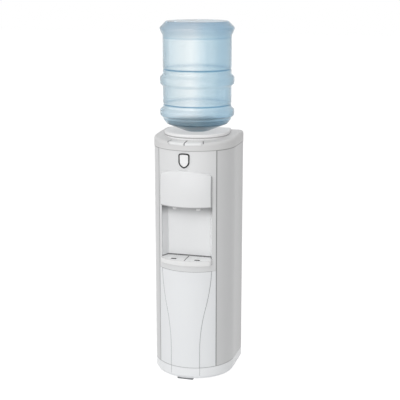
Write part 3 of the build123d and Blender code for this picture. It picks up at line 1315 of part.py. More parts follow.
# Hot tank jacket: two foam half shells round the can and its band
with BuildPart() as hot_jacket:
    with BuildSketch(Plane.XY.offset(HOT_SHELF_Z)):
        with Locations((0, BOTTLE_Y)):
            Circle(HOT_JACKET_R)
    extrude(amount=HOT_TANK_TALL + 2 * HOT_JACKET_WALL)
    with BuildSketch(Plane.XY.offset(HOT_TANK_LOW_Z)):
        with Locations((0, BOTTLE_Y)):
            Circle(HOT_BORE_R)
    extrude(amount=HOT_TANK_TALL, mode=Mode.SUBTRACT)
    with BuildSketch(Plane.XY.offset(HOT_SHELF_Z)):
        with Locations((0, BOTTLE_Y)):
            Circle(FEED_TUBE_R + CLEAR)
            Rectangle(4 * HOT_JACKET_R, JACKET_PARTING)
    extrude(amount=2 * HOT_TANK_TALL, mode=Mode.SUBTRACT)
    with BuildSketch(Plane.XY.offset(HOT_TANK_TOP_Z)):
        with Locations(HOT_LINE_START):
            Circle(WATER_TUBE_R + CLEAR)
    extrude(amount=2 * HOT_JACKET_WALL, mode=Mode.SUBTRACT)
export(hot_jacket.part, "hot_tank_jacket")

# Inner frame: two side plates and the two shelves that carry the tanks
with BuildPart() as inner_frame:
    with BuildSketch(Plane.XY.offset(BASE_TOP_Z)):
        with GridLocations(CABINET_WIDTH - 2 * SIDE_SHEET - SHELF_SHEET, 1, 2, 1):
            with Locations((0, (FRAME_SIDE_FRONT_Y + FRAME_SIDE_REAR_Y) / 2)):
                Rectangle(SHELF_SHEET, FRAME_SIDE_REAR_Y - FRAME_SIDE_FRONT_Y)
    extrude(amount=COLD_JACKET_LOW_Z - BASE_TOP_Z)
    for shelf_z in (HOT_SHELF_Z, COLD_JACKET_LOW_Z):
        with BuildSketch(Plane.XY.offset(shelf_z)):
            add(cabinet_plan(SIDE_SHEET + CLEAR))
            with Locations((0, (SHELF_REAR_Y + SHELF_FRONT_Y) / 2)):
                Rectangle(CABINET_WIDTH, SHELF_REAR_Y - SHELF_FRONT_Y, mode=Mode.INTERSECT)
            with Locations(*LINE_PLACES):
                Circle(PIPE_R + CLEAR, mode=Mode.SUBTRACT)
            with Locations((0, BOTTLE_Y)):
                Circle(FEED_TUBE_R + CLEAR, mode=Mode.SUBTRACT)
        extrude(amount=-SHELF_SHEET)
export(inner_frame.part, "inner_frame")

# Water lines
export(tube([(0, BOTTLE_Y, COLD_TANK_LOW_Z + TANK_SHEET), (0, BOTTLE_Y, HOT_TANK_TOP_Z - TANK_SHEET)],
            PIPE_BEND_R, FEED_TUBE_R, FEED_TUBE_R - TUBE_WALL), "hot_feed_tube")
export(tube([(TAP_X, COLD_WALL_Y, TAP_TAIL_Z), (TAP_X, TAP_TAIL_END_Y - TUBE_PLUG, TAP_TAIL_Z)],
            PIPE_BEND_R, WATER_TUBE_R, WATER_TUBE_R - TUBE_WALL), "cold_water_tube")
export(tube([(*HOT_LINE_START, HOT_TANK_TOP_Z - TANK_SHEET), (*HOT_LINE_START, HOT_LINE_Z),
             (-TAP_X, HOT_LINE_Y, HOT_LINE_Z), (-TAP_X, HOT_LINE_Y, TAP_TAIL_Z),
             (-TAP_X, TAP_TAIL_END_Y - TUBE_PLUG, TAP_TAIL_Z)],
            WATER_BEND_R, WATER_TUBE_R, WATER_TUBE_R - TUBE_WALL), "hot_water_tube")

# Drain: a line from the hot can to a threaded outlet on the back, closed by a cap
with BuildPart() as drain_outlet:
    add(tube([(0, BOTTLE_Y, HOT_TANK_LOW_Z), (0, BOTTLE_Y, DRAIN_Z), (0, DRAIN_INNER_Y, DRAIN_Z)],
             DRAIN_BEND_R, WATER_TUBE_R, WATER_TUBE_R - TUBE_WALL))
    with BuildSketch(Plane.XZ.offset(-DRAIN_END_Y)):
        with Locations((DRAIN_X, DRAIN_Z)):
            Circle(DRAIN_R)
            Circle(WATER_TUBE_R - TUBE_WALL, mode=Mode.SUBTRACT)
    extrude(amount=DRAIN_END_Y - DRAIN_INNER_Y)
export(drain_outlet.part, "drain_outlet")

with BuildPart() as drain_cap:
    with BuildSketch(Plane.XZ.offset(-DRAIN_END_Y - CLEAR - CAP_WALL)):
        with Locations((DRAIN_X, DRAIN_Z)):
            Circle(DRAIN_R + CLEAR + CAP_WALL)
    extrude(amount=DRAIN_CAP_TALL)
    with BuildSketch(Plane.XZ.offset(-DRAIN_END_Y - CLEAR)):
        with Locations((DRAIN_X, DRAIN_Z)):
            Circle(DRAIN_R + CLEAR)
    extrude(amount=DRAIN_CAP_TALL, mode=Mode.SUBTRACT)
export(drain_cap.part, "drain_cap")

# Compressor: a welded shell on a foot plate, with its two pipe stubs
with BuildPart() as compressor:
    with BuildSketch(Plane.XY.offset(COMPRESSOR_LOW_Z)):
        with Locations((COMPRESSOR_X, COMPRESSOR_Y)):
            RectangleRounded(COMPRESSOR_PLATE_W, COMPRESSOR_PLATE_D, GROMMET_R)
    extrude(amount=PLATE_THICK)
    with BuildSketch(Plane.XY.offset(COMPRESSOR_LOW_Z)):
        with Locations((COMPRESSOR_X, COMPRESSOR_Y)):
            Circle(COMPRESSOR_R)
    extrude(amount=COMPRESSOR_TALL)
    fillet(compressor.edges().group_by(Axis.Z)[-1], COMPRESSOR_EDGE_R)
    with BuildSketch(Plane.XY.offset(COMPRESSOR_LOW_Z + COMPRESSOR_TALL / 2)):
        with Locations((COMPRESSOR_X, COMPRESSOR_Y)):
            Circle(COMPRESSOR_R + WELD_PROUD)
    extrude(amount=WELD_TALL)
    with BuildSketch(Plane.XY.offset(COMPRESSOR_LOW_Z + COMPRESSOR_TALL / 2)):
        with Locations(LINE_PLACES[1], DISCHARGE_PLACE):
            Circle(STUB_R)
    extrude(amount=STUB_TOP_Z - COMPRESSOR_LOW_Z - COMPRESSOR_TALL / 2)
export(compressor.part, "compressor")

with BuildPart() as compressor_mounts:
    with BuildSketch(Plane.XY.offset(PAN_FLOOR_Z)):
        with Locations((COMPRESSOR_X, COMPRESSOR_Y)):
            with GridLocations(COMPRESSOR_PLATE_W - 2 * GROMMET_R, COMPRESSOR_PLATE_D - 2 * GROMMET_R, 2, 2):
                Circle(GROMMET_R)
    extrude(amount=GROMMET_TALL)
export(compressor_mounts.part, "compressor_mounts")

with BuildPart() as relay_cover:
    with BuildSketch(Plane.XY.offset(COMPRESSOR_LOW_Z + RELAY_LIFT)):
        with Locations((COMPRESSOR_X - COMPRESSOR_R, COMPRESSOR_Y)):
            RectangleRounded(2 * RELAY_DEPTH, RELAY_WIDTH, RELAY_CORNER_R)
        with Locations((COMPRESSOR_X, COMPRESSOR_Y)):
            Circle(COMPRESSOR_R + WELD_PROUD, mode=Mode.SUBTRACT)
    extrude(amount=RELAY_TALL)
export(relay_cover.part, "relay_cover")

# Refrigerant lines
SUCTION = [(*LINE_PLACES[1], COIL_BOTTOM_Z), (*LINE_PLACES[1], STUB_TOP_Z)]
DISCHARGE = [(*DISCHARGE_PLACE, STUB_TOP_Z), (*DISCHARGE_PLACE, CROSSOVER_Z),
             (CONDENSER_TOP_X, LINE_Y, CROSSOVER_Z), (CONDENSER_TOP_X, LINE_Y, CONDENSER_TOP_Z),
             (CONDENSER_TOP_X, JOINT_Y, CONDENSER_TOP_Z)]
export(tube(SUCTION, PIPE_BEND_R, PIPE_R), "suction_line")
export(tube(DISCHARGE, PIPE_BEND_R, PIPE_R), "discharge_line")

with BuildPart() as filter_drier:
    add(tube([(CONDENSER_LOW_X, JOINT_Y, CONDENSER_LOW_Z), (CONDENSER_LOW_X, LINE_Y, CONDENSER_LOW_Z),
              (CONDENSER_LOW_X, LINE_Y, DRIER_LOW_Z)], PIPE_BEND_R, PIPE_R))
    with BuildSketch(Plane.XY.offset(DRIER_LOW_Z)):
        with Locations((CONDENSER_LOW_X, LINE_Y)):
            Circle(DRIER_R)
    extrude(amount=DRIER_LENGTH)
    add(tube([(CONDENSER_LOW_X, LINE_Y, DRIER_LOW_Z + DRIER_LENGTH),
              (CONDENSER_LOW_X, LINE_Y, CAPILLARY_CROSS_Z), (*LINE_PLACES[0], CAPILLARY_CROSS_Z),
              (*LINE_PLACES[0], COIL_BOTTOM_Z)], PIPE_BEND_R, CAPILLARY_R))
export(filter_drier.part, "filter_drier")

# Condenser: one tube wound up and down the back, with wires welded across both its faces
points = [(CONDENSER_LOW_X, JOINT_Y, CONDENSER_LOW_Z), (CONDENSER_LOW_X, CONDENSER_Y, CONDENSER_LOW_Z)]
for run in range(CONDENSER_RUNS):
    z = CONDENSER_LOW_Z + run * CONDENSER_PITCH
    ends = (-CONDENSER_HALF, CONDENSER_HALF) if run % 2 == 0 else (CONDENSER_HALF, -CONDENSER_HALF)
    first = [] if run == 0 else [(ends[0], CONDENSER_Y, z)]
    last = ends[1] if run < CONDENSER_RUNS - 1 else CONDENSER_TOP_X
    points += first + [(last, CONDENSER_Y, z)]
points.append((CONDENSER_TOP_X, JOINT_Y, CONDENSER_TOP_Z))
with BuildPart() as condenser:
    add(tube(points, CONDENSER_BEND_R, CONDENSER_TUBE_R))
    with BuildSketch(Plane.XY.offset(CONDENSER_LOW_Z - WIRE_OVER)):
        with Locations((0, CONDENSER_Y)):
            with GridLocations(2 * WIRE_HALF / (WIRE_COUNT - 1), 2 * WIRE_Y, WIRE_COUNT, 2):
                RegularPolygon(WIRE_R, WIRE_SIDES)
    extrude(amount=CONDENSER_TOP_Z - CONDENSER_LOW_Z + 2 * WIRE_OVER)
export(condenser.part, "condenser")

# Brackets: four clips that stand off the back sheet and hold the tube
with BuildPart() as condenser_brackets:
    with BuildSketch(Plane.XZ.offset(-BRACKET_END_Y)):
        with Locations(*BRACKET_PLACES):
            RectangleRounded(BRACKET_WIDTH, BRACKET_TALL, BRACKET_CORNER_R)
    extrude(amount=BRACKET_END_Y - BACK_OUTER_Y)
    with BuildSketch(Plane.YZ.offset(-CABINET_WIDTH / 2)):
        with Locations(*[(CONDENSER_Y, z) for z in BRACKET_Z]):
            Circle(CONDENSER_TUBE_R + HALF_RUNNING)
    extrude(amount=CABINET_WIDTH, mode=Mode.SUBTRACT)
export(condenser_brackets.part, "condenser_brackets")

# Rear switches: two housings and their rockers
with BuildPart() as switch_housings:
    with BuildSketch(Plane.XZ.offset(-BACK_OUTER_Y - FLANGE_THICK)):
        with Locations(*[(x, SWITCH_Z) for x in SWITCH_X]):
            Rectangle(SWITCH_WIDTH + 2 * SWITCH_FLANGE, SWITCH_TALL + 2 * SWITCH_FLANGE)
    extrude(amount=FLANGE_THICK)
    with BuildSketch(Plane.XZ.offset(-BACK_OUTER_Y)):
        with Locations(*[(x, SWITCH_Z) for x in SWITCH_X]):
            Rectangle(SWITCH_WIDTH, SWITCH_TALL)
    extrude(amount=SWITCH_DEEP)
    with BuildSketch(Plane.XZ.offset(-BACK_OUTER_Y - FLANGE_THICK)):
        with Locations(*[(x, SWITCH_Z) for x in SWITCH_X]):
            Rectangle(SWITCH_WIDTH - 2 * SWITCH_WALL, SWITCH_TALL - 2 * SWITCH_WALL)
    extrude(amount=SWITCH_DEEP, mode=Mode.SUBTRACT)
    # the side walls carry the rockers' pins
    with BuildSketch(Plane.YZ.offset(-CABINET_WIDTH / 2)):
        with Locations((ROCKER_Y, SWITCH_Z)):
            Circle(ROCKER_PIN_R + RUNNING)
    extrude(amount=CABINET_WIDTH, mode=Mode.SUBTRACT)
export(switch_housings.part, "switch_housings")


def rocker(x):
    """A rocker lying tipped to its off side, turning on a pin along X."""
    tilt = radians(SWITCH_TURN_DEG)
    half = SWITCH_TALL / 2 - SWITCH_WALL - ROCKER_ROOM
    side = Plane(origin=(x - SWITCH_WIDTH / 2 + SWITCH_WALL + CLEAR, ROCKER_Y, SWITCH_Z),
                 x_dir=(0, cos(tilt), sin(tilt)), z_dir=(1, 0, 0))
    with BuildPart() as body:
        with BuildSketch(side):
            with BuildLine():
                Polyline((-ROCKER_BACK, -half), (ROCKER_FRONT, -half), (ROCKER_FRONT / 2, 0),
                         (ROCKER_FRONT, half), (-ROCKER_BACK, half), close=True)
            make_face()
        extrude(amount=SWITCH_WIDTH - 2 * SWITCH_WALL - 2 * CLEAR)
        with BuildSketch(side.offset(-CLEAR - ROCKER_PIN_REACH)):
            Circle(ROCKER_PIN_R)
        extrude(amount=SWITCH_WIDTH - 2 * SWITCH_WALL + 2 * ROCKER_PIN_REACH)
    return body.part


export(rocker(SWITCH_X[0]), "hot_switch_rocker")
export(rocker(SWITCH_X[1]), "cold_switch_rocker")

# Cold thermostat and its knob
with BuildPart() as cold_thermostat:
    with BuildSketch(Plane.XZ.offset(-BACK_INNER_Y)):
        with Locations((KNOB_X, KNOB_Z)):
            Rectangle(THERMOSTAT_BOX_W, THERMOSTAT_BOX_T)
            Circle(KNOB_SHAFT_R + RUNNING, mode=Mode.SUBTRACT)
    extrude(amount=THERMOSTAT_BOX_D)
export(cold_thermostat.part, "cold_thermostat")

with BuildPart() as thermostat_knob:
    with BuildSketch(Plane.XZ.offset(-BACK_OUTER_Y - CLEAR - KNOB_TALL)):
        with Locations((KNOB_X, KNOB_Z)):
            Circle(KNOB_R)
            with PolarLocations(KNOB_R, KNOB_SCALLOPS):
                Circle(KNOB_SCALLOP_R, mode=Mode.SUBTRACT)
    extrude(amount=KNOB_TALL)
    with BuildSketch(Plane.XZ.offset(-BACK_OUTER_Y - CLEAR)):
        with Locations((KNOB_X, KNOB_Z)):
            Circle(KNOB_SHAFT_R)
    extrude(amount=KNOB_SHAFT_LENGTH)
export(thermostat_knob.part, "thermostat_knob")

# Cord gland: the bushed inlet for the mains lead
with BuildPart() as cord_gland:
    with BuildSketch(Plane.XZ.offset(-BACK_OUTER_Y - FLANGE_THICK)):
        with Locations((GLAND_X, GLAND_Z)):
            Circle(GLAND_R + SWITCH_FLANGE)
    extrude(amount=FLANGE_THICK)
    with BuildSketch(Plane.XZ.offset(-BACK_OUTER_Y)):
        with Locations((GLAND_X, GLAND_Z)):
            Circle(GLAND_R)
    extrude(amount=GLAND_DEEP)
    with BuildSketch(Plane.XZ.offset(-BACK_OUTER_Y - FLANGE_THICK)):
        with Locations((GLAND_X, GLAND_Z)):
            Circle(GLAND_BORE_R)
    extrude(amount=2 * GLAND_DEEP, mode=Mode.SUBTRACT)
export(cord_gland.part, "cord_gland")

# Screws that hold the back sheet to the side flanges
with BuildPart() as back_screws:
    with BuildSketch(Plane.XZ.offset(-BACK_Y - SCREW_HEAD_TALL)):
        with Locations(*BACK_SCREWS):
            Circle(SCREW_HEAD_R)
    extrude(amount=SCREW_HEAD_TALL)
    with BuildSketch(Plane.XZ.offset(-BACK_Y)):
        with Locations(*BACK_SCREWS):
            Circle(SCREW_R)
    extrude(amount=SCREW_LENGTH)
export(back_screws.part, "back_screws")
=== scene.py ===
# %% [markdown]
# # A top-loading water dispenser
#
# The real object is a white plastic and steel cabinet with a half-round front and a clear blue
# bottle turned over on its collar. The frame already holds every solid at its real size, so this
# script doesn't move or resize anything. It gives each surface its finish, remakes the few pieces
# whose look depends on a finer form, and sets up the floor, the light and the camera.

from collections import namedtuple
from math import cos, pi, radians, sin, sqrt

import bmesh
import bpy
from mathutils import Matrix, Vector


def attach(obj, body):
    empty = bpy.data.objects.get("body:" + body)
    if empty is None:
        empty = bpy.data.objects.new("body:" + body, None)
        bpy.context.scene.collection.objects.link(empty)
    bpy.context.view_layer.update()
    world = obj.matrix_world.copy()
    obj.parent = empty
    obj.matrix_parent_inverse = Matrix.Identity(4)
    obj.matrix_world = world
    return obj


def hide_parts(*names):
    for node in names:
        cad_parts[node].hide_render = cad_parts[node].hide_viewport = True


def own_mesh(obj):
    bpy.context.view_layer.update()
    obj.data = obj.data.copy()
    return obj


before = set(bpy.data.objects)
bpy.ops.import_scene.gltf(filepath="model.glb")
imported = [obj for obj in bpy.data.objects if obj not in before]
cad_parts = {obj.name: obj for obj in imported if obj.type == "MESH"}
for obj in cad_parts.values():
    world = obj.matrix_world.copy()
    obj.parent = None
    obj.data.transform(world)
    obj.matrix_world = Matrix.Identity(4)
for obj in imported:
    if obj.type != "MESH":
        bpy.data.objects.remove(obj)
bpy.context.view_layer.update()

# %% [markdown]
# ## Small helpers for materials
#
# A finish is a small graph of nodes. The place on the object goes in at one end, and the colour, the
# roughness and the grain come out at the other. The same steps return in every graph: a noise, a
# range, a sum and a blend. They could be set up by hand each time. One short function for each keeps
# the finishes below short and alike.

# %% A new material
def new_material(name):
    """A material with its nodes, its links and its main shader."""
    material = bpy.data.materials.new(name)
    material.use_nodes = True
    nodes, links = material.node_tree.nodes, material.node_tree.links
    return material, nodes, links, nodes["Principled BSDF"]


def object_place(nodes):
    """The place on the object in metres, so that a pattern keeps its real size on every piece."""
    return nodes.new("ShaderNodeTexCoord").outputs["Object"]


def place_parts(nodes, links, place):
    """The X, Y and Z of a place."""
    parts = nodes.new("ShaderNodeSeparateXYZ")
    links.new(place, parts.inputs["Vector"])
    return parts.outputs


# %% Noise, ranges and sums
def noise(nodes, links, place, scale, detail):
    """A soft random value between nought and one."""
    cloud = nodes.new("ShaderNodeTexNoise")
    cloud.inputs["Scale"].default_value = scale
    cloud.inputs["Detail"].default_value = detail
    links.new(place, cloud.inputs["Vector"])
    return cloud.outputs["Fac"]


def ranged(nodes, links, value, low, high):
    """A value between nought and one, spread between two others."""
    spread = nodes.new("ShaderNodeMapRange")
    spread.inputs["To Min"].default_value = low
    spread.inputs["To Max"].default_value = high
    links.new(value, spread.inputs["Value"])
    return spread.outputs["Result"]


def fading(nodes, links, value, start, end, low, high):
    """A value that turns smoothly from low at the start to high at the end."""
    spread = nodes.new("ShaderNodeMapRange")
    spread.interpolation_type = "SMOOTHSTEP"
    spread.inputs["From Min"].default_value = start
    spread.inputs["From Max"].default_value = end
    spread.inputs["To Min"].default_value = low
    spread.inputs["To Max"].default_value = high
    links.new(value, spread.inputs["Value"])
    return spread.outputs["Result"]


def worked(nodes, links, operation, first, second=None):
    """The outcome of one sum on sockets or plain numbers."""
    sum_node = nodes.new("ShaderNodeMath")
    sum_node.operation = operation
    for socket, value in zip(sum_node.inputs, (first, second)):
        if isinstance(value, float):
            socket.default_value = value
        elif value is not None:
            links.new(value, socket)
    return sum_node.outputs["Value"]


# %% Blends and bumps
def blended(nodes, links, share, first, second):
    """A colour between two others, each a plain colour or a socket."""
    mix = nodes.new("ShaderNodeMix")
    mix.data_type = "RGBA"
    links.new(share, mix.inputs["Factor"])
    for name, colour in (("A", first), ("B", second)):
        if isinstance(colour, tuple):
            mix.inputs[name].default_value = (*colour, 1.0)
        else:
            links.new(colour, mix.inputs[name])
    return mix.outputs["Result"]


def shown(nodes, links, share, first, second, end):
    """Shows the first shader, or the second by its share, at the end of the graph."""
    mix = nodes.new("ShaderNodeMixShader")
    links.new(share, mix.inputs["Fac"])
    links.new(first, mix.inputs[1])
    links.new(second, mix.inputs[2])
    links.new(mix.outputs["Shader"], end.inputs["Surface"])


def bumped(nodes, links, height, depth, shader):
    """Lifts and sinks the surface by a height, at most by a depth in metres."""
    relief = nodes.new("ShaderNodeBump")
    relief.inputs["Distance"].default_value = depth
    links.new(height, relief.inputs["Height"])
    links.new(relief.outputs["Normal"], shader.inputs["Normal"])


def grey(level, warmth=0.0):
    """A neutral colour, pulled a little warm or, below nought, a little cool."""
    return (level + warmth, level, level - warmth)


# %% [markdown]
# ## Shade beside the joints
#
# The panels of the real cabinet meet at joints under a millimetre wide, where dust gathers and hardly
# any light gets in. A joint so thin is lost from a few metres away. It could be painted on the panel
# as a picture, but that needs an unwrapped surface. Here the finish itself turns darker over the last
# millimetre or two beside a joint, found from the place on the object. In the same way it takes
# painted shade in a few wider places where light falls short. A shaded place is a list of bands, and
# it lies where they all cross. A band is given by its axis, its place along the axis and its reach
# each way. It can lean with depth, as the slanting sides of the buttons do, fade towards its ends, as
# the painted shade under a roof does, and be fainter than the others.

# %% Bands and where they cross
Band = namedtuple("Band", "axis middle reach lean fades strength", defaults=(0.0, False, 1.0))


def inside(nodes, links, parts, band):
    """The band's strength in its middle and nought outside it, the same left and right."""
    along = parts[band.axis]
    if band.axis == "X":
        along = worked(nodes, links, "ABSOLUTE", along)
    if band.lean:
        slant = worked(nodes, links, "MULTIPLY", parts["Y"], band.lean)
        along = worked(nodes, links, "ADD", along, slant)
    away = worked(nodes, links, "SUBTRACT", along, band.middle)
    away = worked(nodes, links, "ABSOLUTE", away)
    if band.fades:
        return fading(nodes, links, away, 0.0, band.reach, band.strength, 0.0)
    near = worked(nodes, links, "LESS_THAN", away, band.reach)
    return worked(nodes, links, "MULTIPLY", near, band.strength)


def shaded_places(nodes, links, place, shaded):
    """A value above nought in the shaded places and nought elsewhere."""
    parts = place_parts(nodes, links, place)
    total = None
    for bands in shaded:
        crossing = inside(nodes, links, parts, bands[0])
        for band in bands[1:]:
            crossing = worked(nodes, links, "MULTIPLY", crossing, inside(nodes, links, parts, band))
        total = crossing if total is None else worked(nodes, links, "MAXIMUM", total, crossing)
    return total


# %% [markdown]
# ## Grained finishes
#
# Moulded plastic, powder coat, foam and metal differ in three things that a viewer notices from a
# step away: how the colour drifts over a large face, how the gloss varies, and the fine grain that
# breaks up a highlight. Each could have a graph of its own, but they differ only in numbers. So one
# helper builds them all from two close tones, two roughness values and a bump, with noise on Object
# coordinates. What is the same all over a surface is set on the shader itself.

# %% A helper for grained finishes
# The colour that shaded places turn towards: the dust of the joints, and painted shade elsewhere.
DUST_AND_SHADE = (0.04, 0.04, 0.045)
DRIFT_SCALE = 6.0
DRIFT_DETAIL = 3.0
GRAIN_DETAIL = 2.0
MICRON = 0.000001


def grained(name, light, dark, rough, grain, depth, metallic=0.0, coat=0.0, shaded=(), shade=0.5,
            shine=0.5):
    """Two close tones, a gloss that varies and a grain whose depth is given in micrometres."""
    material, nodes, links, shader = new_material(name)
    shader.inputs["Metallic"].default_value = metallic
    shader.inputs["Coat Weight"].default_value = coat
    shader.inputs["Specular IOR Level"].default_value = shine
    place = object_place(nodes)
    colour = blended(nodes, links, noise(nodes, links, place, DRIFT_SCALE, DRIFT_DETAIL), dark, light)
    # Shaded places are darkened towards that colour: dark joints, and painted shade where a band
    # stands for shade.
    if shaded:
        weight = worked(nodes, links, "MULTIPLY", shaded_places(nodes, links, place, shaded), shade)
        colour = blended(nodes, links, weight, colour, DUST_AND_SHADE)
    links.new(colour, shader.inputs["Base Color"])

    speck = noise(nodes, links, place, grain, GRAIN_DETAIL)
    links.new(ranged(nodes, links, speck, *rough), shader.inputs["Roughness"])
    bumped(nodes, links, speck, depth * MICRON, shader)
    print("finish", name, "roughness", rough)
    return material


# %% [markdown]
# ## Where the shade lies
#
# These are the places, in metres, where parts of the cabinet meet or shade each other. On the front
# they are the joints at the sides, in the middle and above the base, and painted shade under the drip
# tray, under the alcove's roof and along the foot and the sides of the tap hood. On top they are the
# edge of the cover, the gaps round the buttons, and painted shade at the step and the foot of the
# collar. In the tray they are painted shade in and under the drain holes, and the gaps beside the
# plates. The liner gets a painted shade line where the tray meets it, and the side panels a faint
# painted shade towards their rear, which turns away from the lamps. Each could be measured on the
# mesh, but the joints lie at plain heights and widths, so a short list of numbers says it all.

# %% Shaded places of the panels
SIDE_JOINT = [Band("X", 0.107, 0.0017, strength=0.55)]
MIDDLE_JOINT = [Band("Z", 0.416, 0.0006, strength=0.4)]
COVER_JOINT = [Band("Z", 0.857, 0.0016, strength=0.6)]
BASE_JOINT = [Band("Z", 0.047, 0.0016, strength=0.6)]
# Painted shade: under the tray's lip, along the foot and the sides of the tap hood, under the alcove's
# roof, and fading in towards the rear of the side panels.
UNDER_TRAY_SHADOW = [Band("X", 0.0, 0.088), Band("Z", 0.4390, 0.0065, fades=True)]
HOOD_FOOT_SHADE = [Band("Z", 0.653, 0.0080, fades=True)]
HOOD_SIDE_SHADE = [Band("X", 0.0940, 0.0012, strength=0.7)]
ROOF_SHADE = [Band("Z", 0.660, 0.055, fades=True)]
SIDE_REAR_SHADE = [Band("Y", 0.170, 0.200, fades=True, strength=0.28)]
print("shade beside a side joint", round(SIDE_JOINT[0].reach * 1000, 1), "mm each way")

# %% Shaded places of the buttons, the collar and the tray
BUTTON_SLANT = Band("X", 0.0318, 0.0015, lean=0.252)
BUTTON_MIDDLE = Band("X", 0.0, 0.0018)
BUTTON_DEPTH = Band("Y", -0.122, 0.016)
BUTTON_HEIGHT = Band("Z", 0.895, 0.0125)
BUTTON_REAR = Band("Y", -0.1085, 0.0014)
BUTTON_GAPS = [[BUTTON_SLANT], [BUTTON_MIDDLE], [BUTTON_REAR]]
COVER_GAPS = [[gap, BUTTON_DEPTH, BUTTON_HEIGHT] for gap in (BUTTON_SLANT, BUTTON_MIDDLE)]
# Painted shade at the collar's step and foot, on the liner where the tray meets it, and in and under
# the drain holes.
COLLAR_STEP_SHADE = [Band("Z", 0.9108, 0.0006)]
COLLAR_FOOT_SHADE = [Band("Z", 0.8950, 0.0022)]
TRAY_SHADE_LINE = [Band("Z", 0.4600, 0.0020)]
DRAIN_HOLE_SHADE = [Band("X", 0.044, 0.0100), Band("Y", -0.137, 0.0060)]
PAN_SHADE_UNDER_HOLE = DRAIN_HOLE_SHADE + [Band("Z", 0.4430, 0.0040)]
PLATE_REAR = [Band("Y", -0.0875, 0.0014)]
PLATE_MIDDLE = [Band("X", 0.0, 0.0015)]
print("gaps round the buttons", len(BUTTON_GAPS), "and on the cover", len(COVER_GAPS))

# %% [markdown]
# ## The whites and greys of the mouldings
#
# The real mouldings come from different tools, so no two are quite the same white. The front, its
# lower half, the tap hood and the base are all slightly cool, and the top cover is a light grey with
# a matt grain that hides fingerprints. One white for all would be quicker, but the cabinet would
# look cast in one piece. The alcove's liner shines more than the front, and a thin coat gives it a
# second, sharper highlight.

# %% Whites of the front
front_white = grained("front_white", grey(0.82, -0.005), grey(0.80, -0.005), rough=(0.20, 0.28),
                      grain=700.0, depth=12, shaded=[SIDE_JOINT], shade=0.8)
# The lower front gets painted shadow under the tray's lip, besides its dark joints.
lower_white = grained("lower_white", grey(0.93, -0.016), grey(0.91, -0.016), rough=(0.20, 0.28),
                      grain=700.0, depth=12, shade=0.8,
                      shaded=[SIDE_JOINT, MIDDLE_JOINT, BASE_JOINT, UNDER_TRAY_SHADOW])
# The tap hood gets painted shade along its foot and its sides.
hood_white = grained("hood_white", grey(0.86, -0.007), grey(0.84, -0.007), rough=(0.18, 0.26),
                     grain=700.0, depth=12, shaded=[HOOD_FOOT_SHADE, HOOD_SIDE_SHADE], shade=0.7)
base_white = grained("base_white", grey(0.96, -0.014), grey(0.94, -0.014), rough=(0.22, 0.30),
                     grain=700.0, depth=12, shaded=[BASE_JOINT])
button_white = grained("button_white", grey(0.95, -0.004), grey(0.93, -0.004), rough=(0.20, 0.28),
                       grain=700.0, depth=8, shaded=BUTTON_GAPS, shade=0.9)
badge_white = grained("badge_white", grey(0.96, -0.002), grey(0.95, -0.002), rough=(0.10, 0.14),
                      grain=500.0, depth=4)

# %% Whites of the alcove and the tray
# The liner gets painted shade under the alcove's roof, and a painted shade line where the tray meets
# it.
liner_white = grained("liner_white", grey(0.90, -0.008), grey(0.88, -0.008), rough=(0.10, 0.16),
                      grain=500.0, depth=8, coat=0.5, shaded=[ROOF_SHADE, TRAY_SHADE_LINE], shade=0.85)
# The pan gets painted shade under the drain holes, and the plates painted shade in the holes, besides
# the dark gaps at their rear and between them.
tray_white = grained("tray_white", grey(0.90), grey(0.88), rough=(0.20, 0.28), grain=700.0, depth=10,
                     shaded=[PAN_SHADE_UNDER_HOLE], shade=1.0)
plate_white = grained("plate_white", grey(0.98, -0.003), grey(0.97, -0.003), rough=(0.10, 0.16),
                      grain=700.0, depth=4, shaded=[DRAIN_HOLE_SHADE, PLATE_REAR, PLATE_MIDDLE], shade=0.96)
tap_white = grained("tap_white", grey(0.90), grey(0.88), rough=(0.12, 0.18), grain=500.0, depth=5)

# %% Greys
cover_grey = grained("cover_grey", grey(0.74), grey(0.72), rough=(0.42, 0.52), grain=900.0, depth=30,
                     shaded=[COVER_JOINT, *COVER_GAPS], shade=0.9)
# The collar gets painted shade at its step and along its foot.
collar_silver = grained("collar_silver", grey(0.96), grey(0.94), rough=(0.48, 0.56), grain=900.0,
                        depth=10, shaded=[COLLAR_STEP_SHADE, COLLAR_FOOT_SHADE], shine=0.12)
foot_grey = grained("foot_grey", grey(0.22, -0.01), grey(0.18, -0.01), rough=(0.35, 0.45),
                    grain=600.0, depth=20)
# The dark grey of the beads that paint the shade along the raised field's foot.
shade_line_grey = grained("shade_line_grey", grey(0.34, -0.01), grey(0.28, -0.01), rough=(0.40, 0.50),
                    grain=600.0, depth=10)

# %% [markdown]
# ## Coated steel and metals
#
# The sides and the back are folded steel sheet, and their powder coat has a slight orange-peel grain,
# coarser than that of the mouldings. Most of the metals lie inside: bright tanks, a zinc-coated frame,
# drawn springs and copper tube. Grey paint would do where so little shows, but a metal is told by what
# it reflects, so each is a metal with a gloss of its own. The badge's narrow border is chrome, and its
# colour is a painted dark reflection: nearly black, as a mirror looks from most sides in an empty
# room. The side panels also get a faint painted shade towards their rear.

# %% Coated steel
# The side panels get painted shade towards their rear, which turns away from the lamps, besides their
# dark joints.
side_paint = grained("side_paint", grey(0.72, -0.004), grey(0.69, -0.004), rough=(0.26, 0.36),
                     grain=260.0, depth=30, shade=0.8,
                     shaded=[SIDE_JOINT, COVER_JOINT, BASE_JOINT, SIDE_REAR_SHADE])
back_paint = grained("back_paint", grey(0.68), grey(0.64), rough=(0.45, 0.55), grain=260.0, depth=30)
black_paint = grained("black_paint", grey(0.045), grey(0.030), rough=(0.30, 0.42), grain=300.0,
                      depth=30)

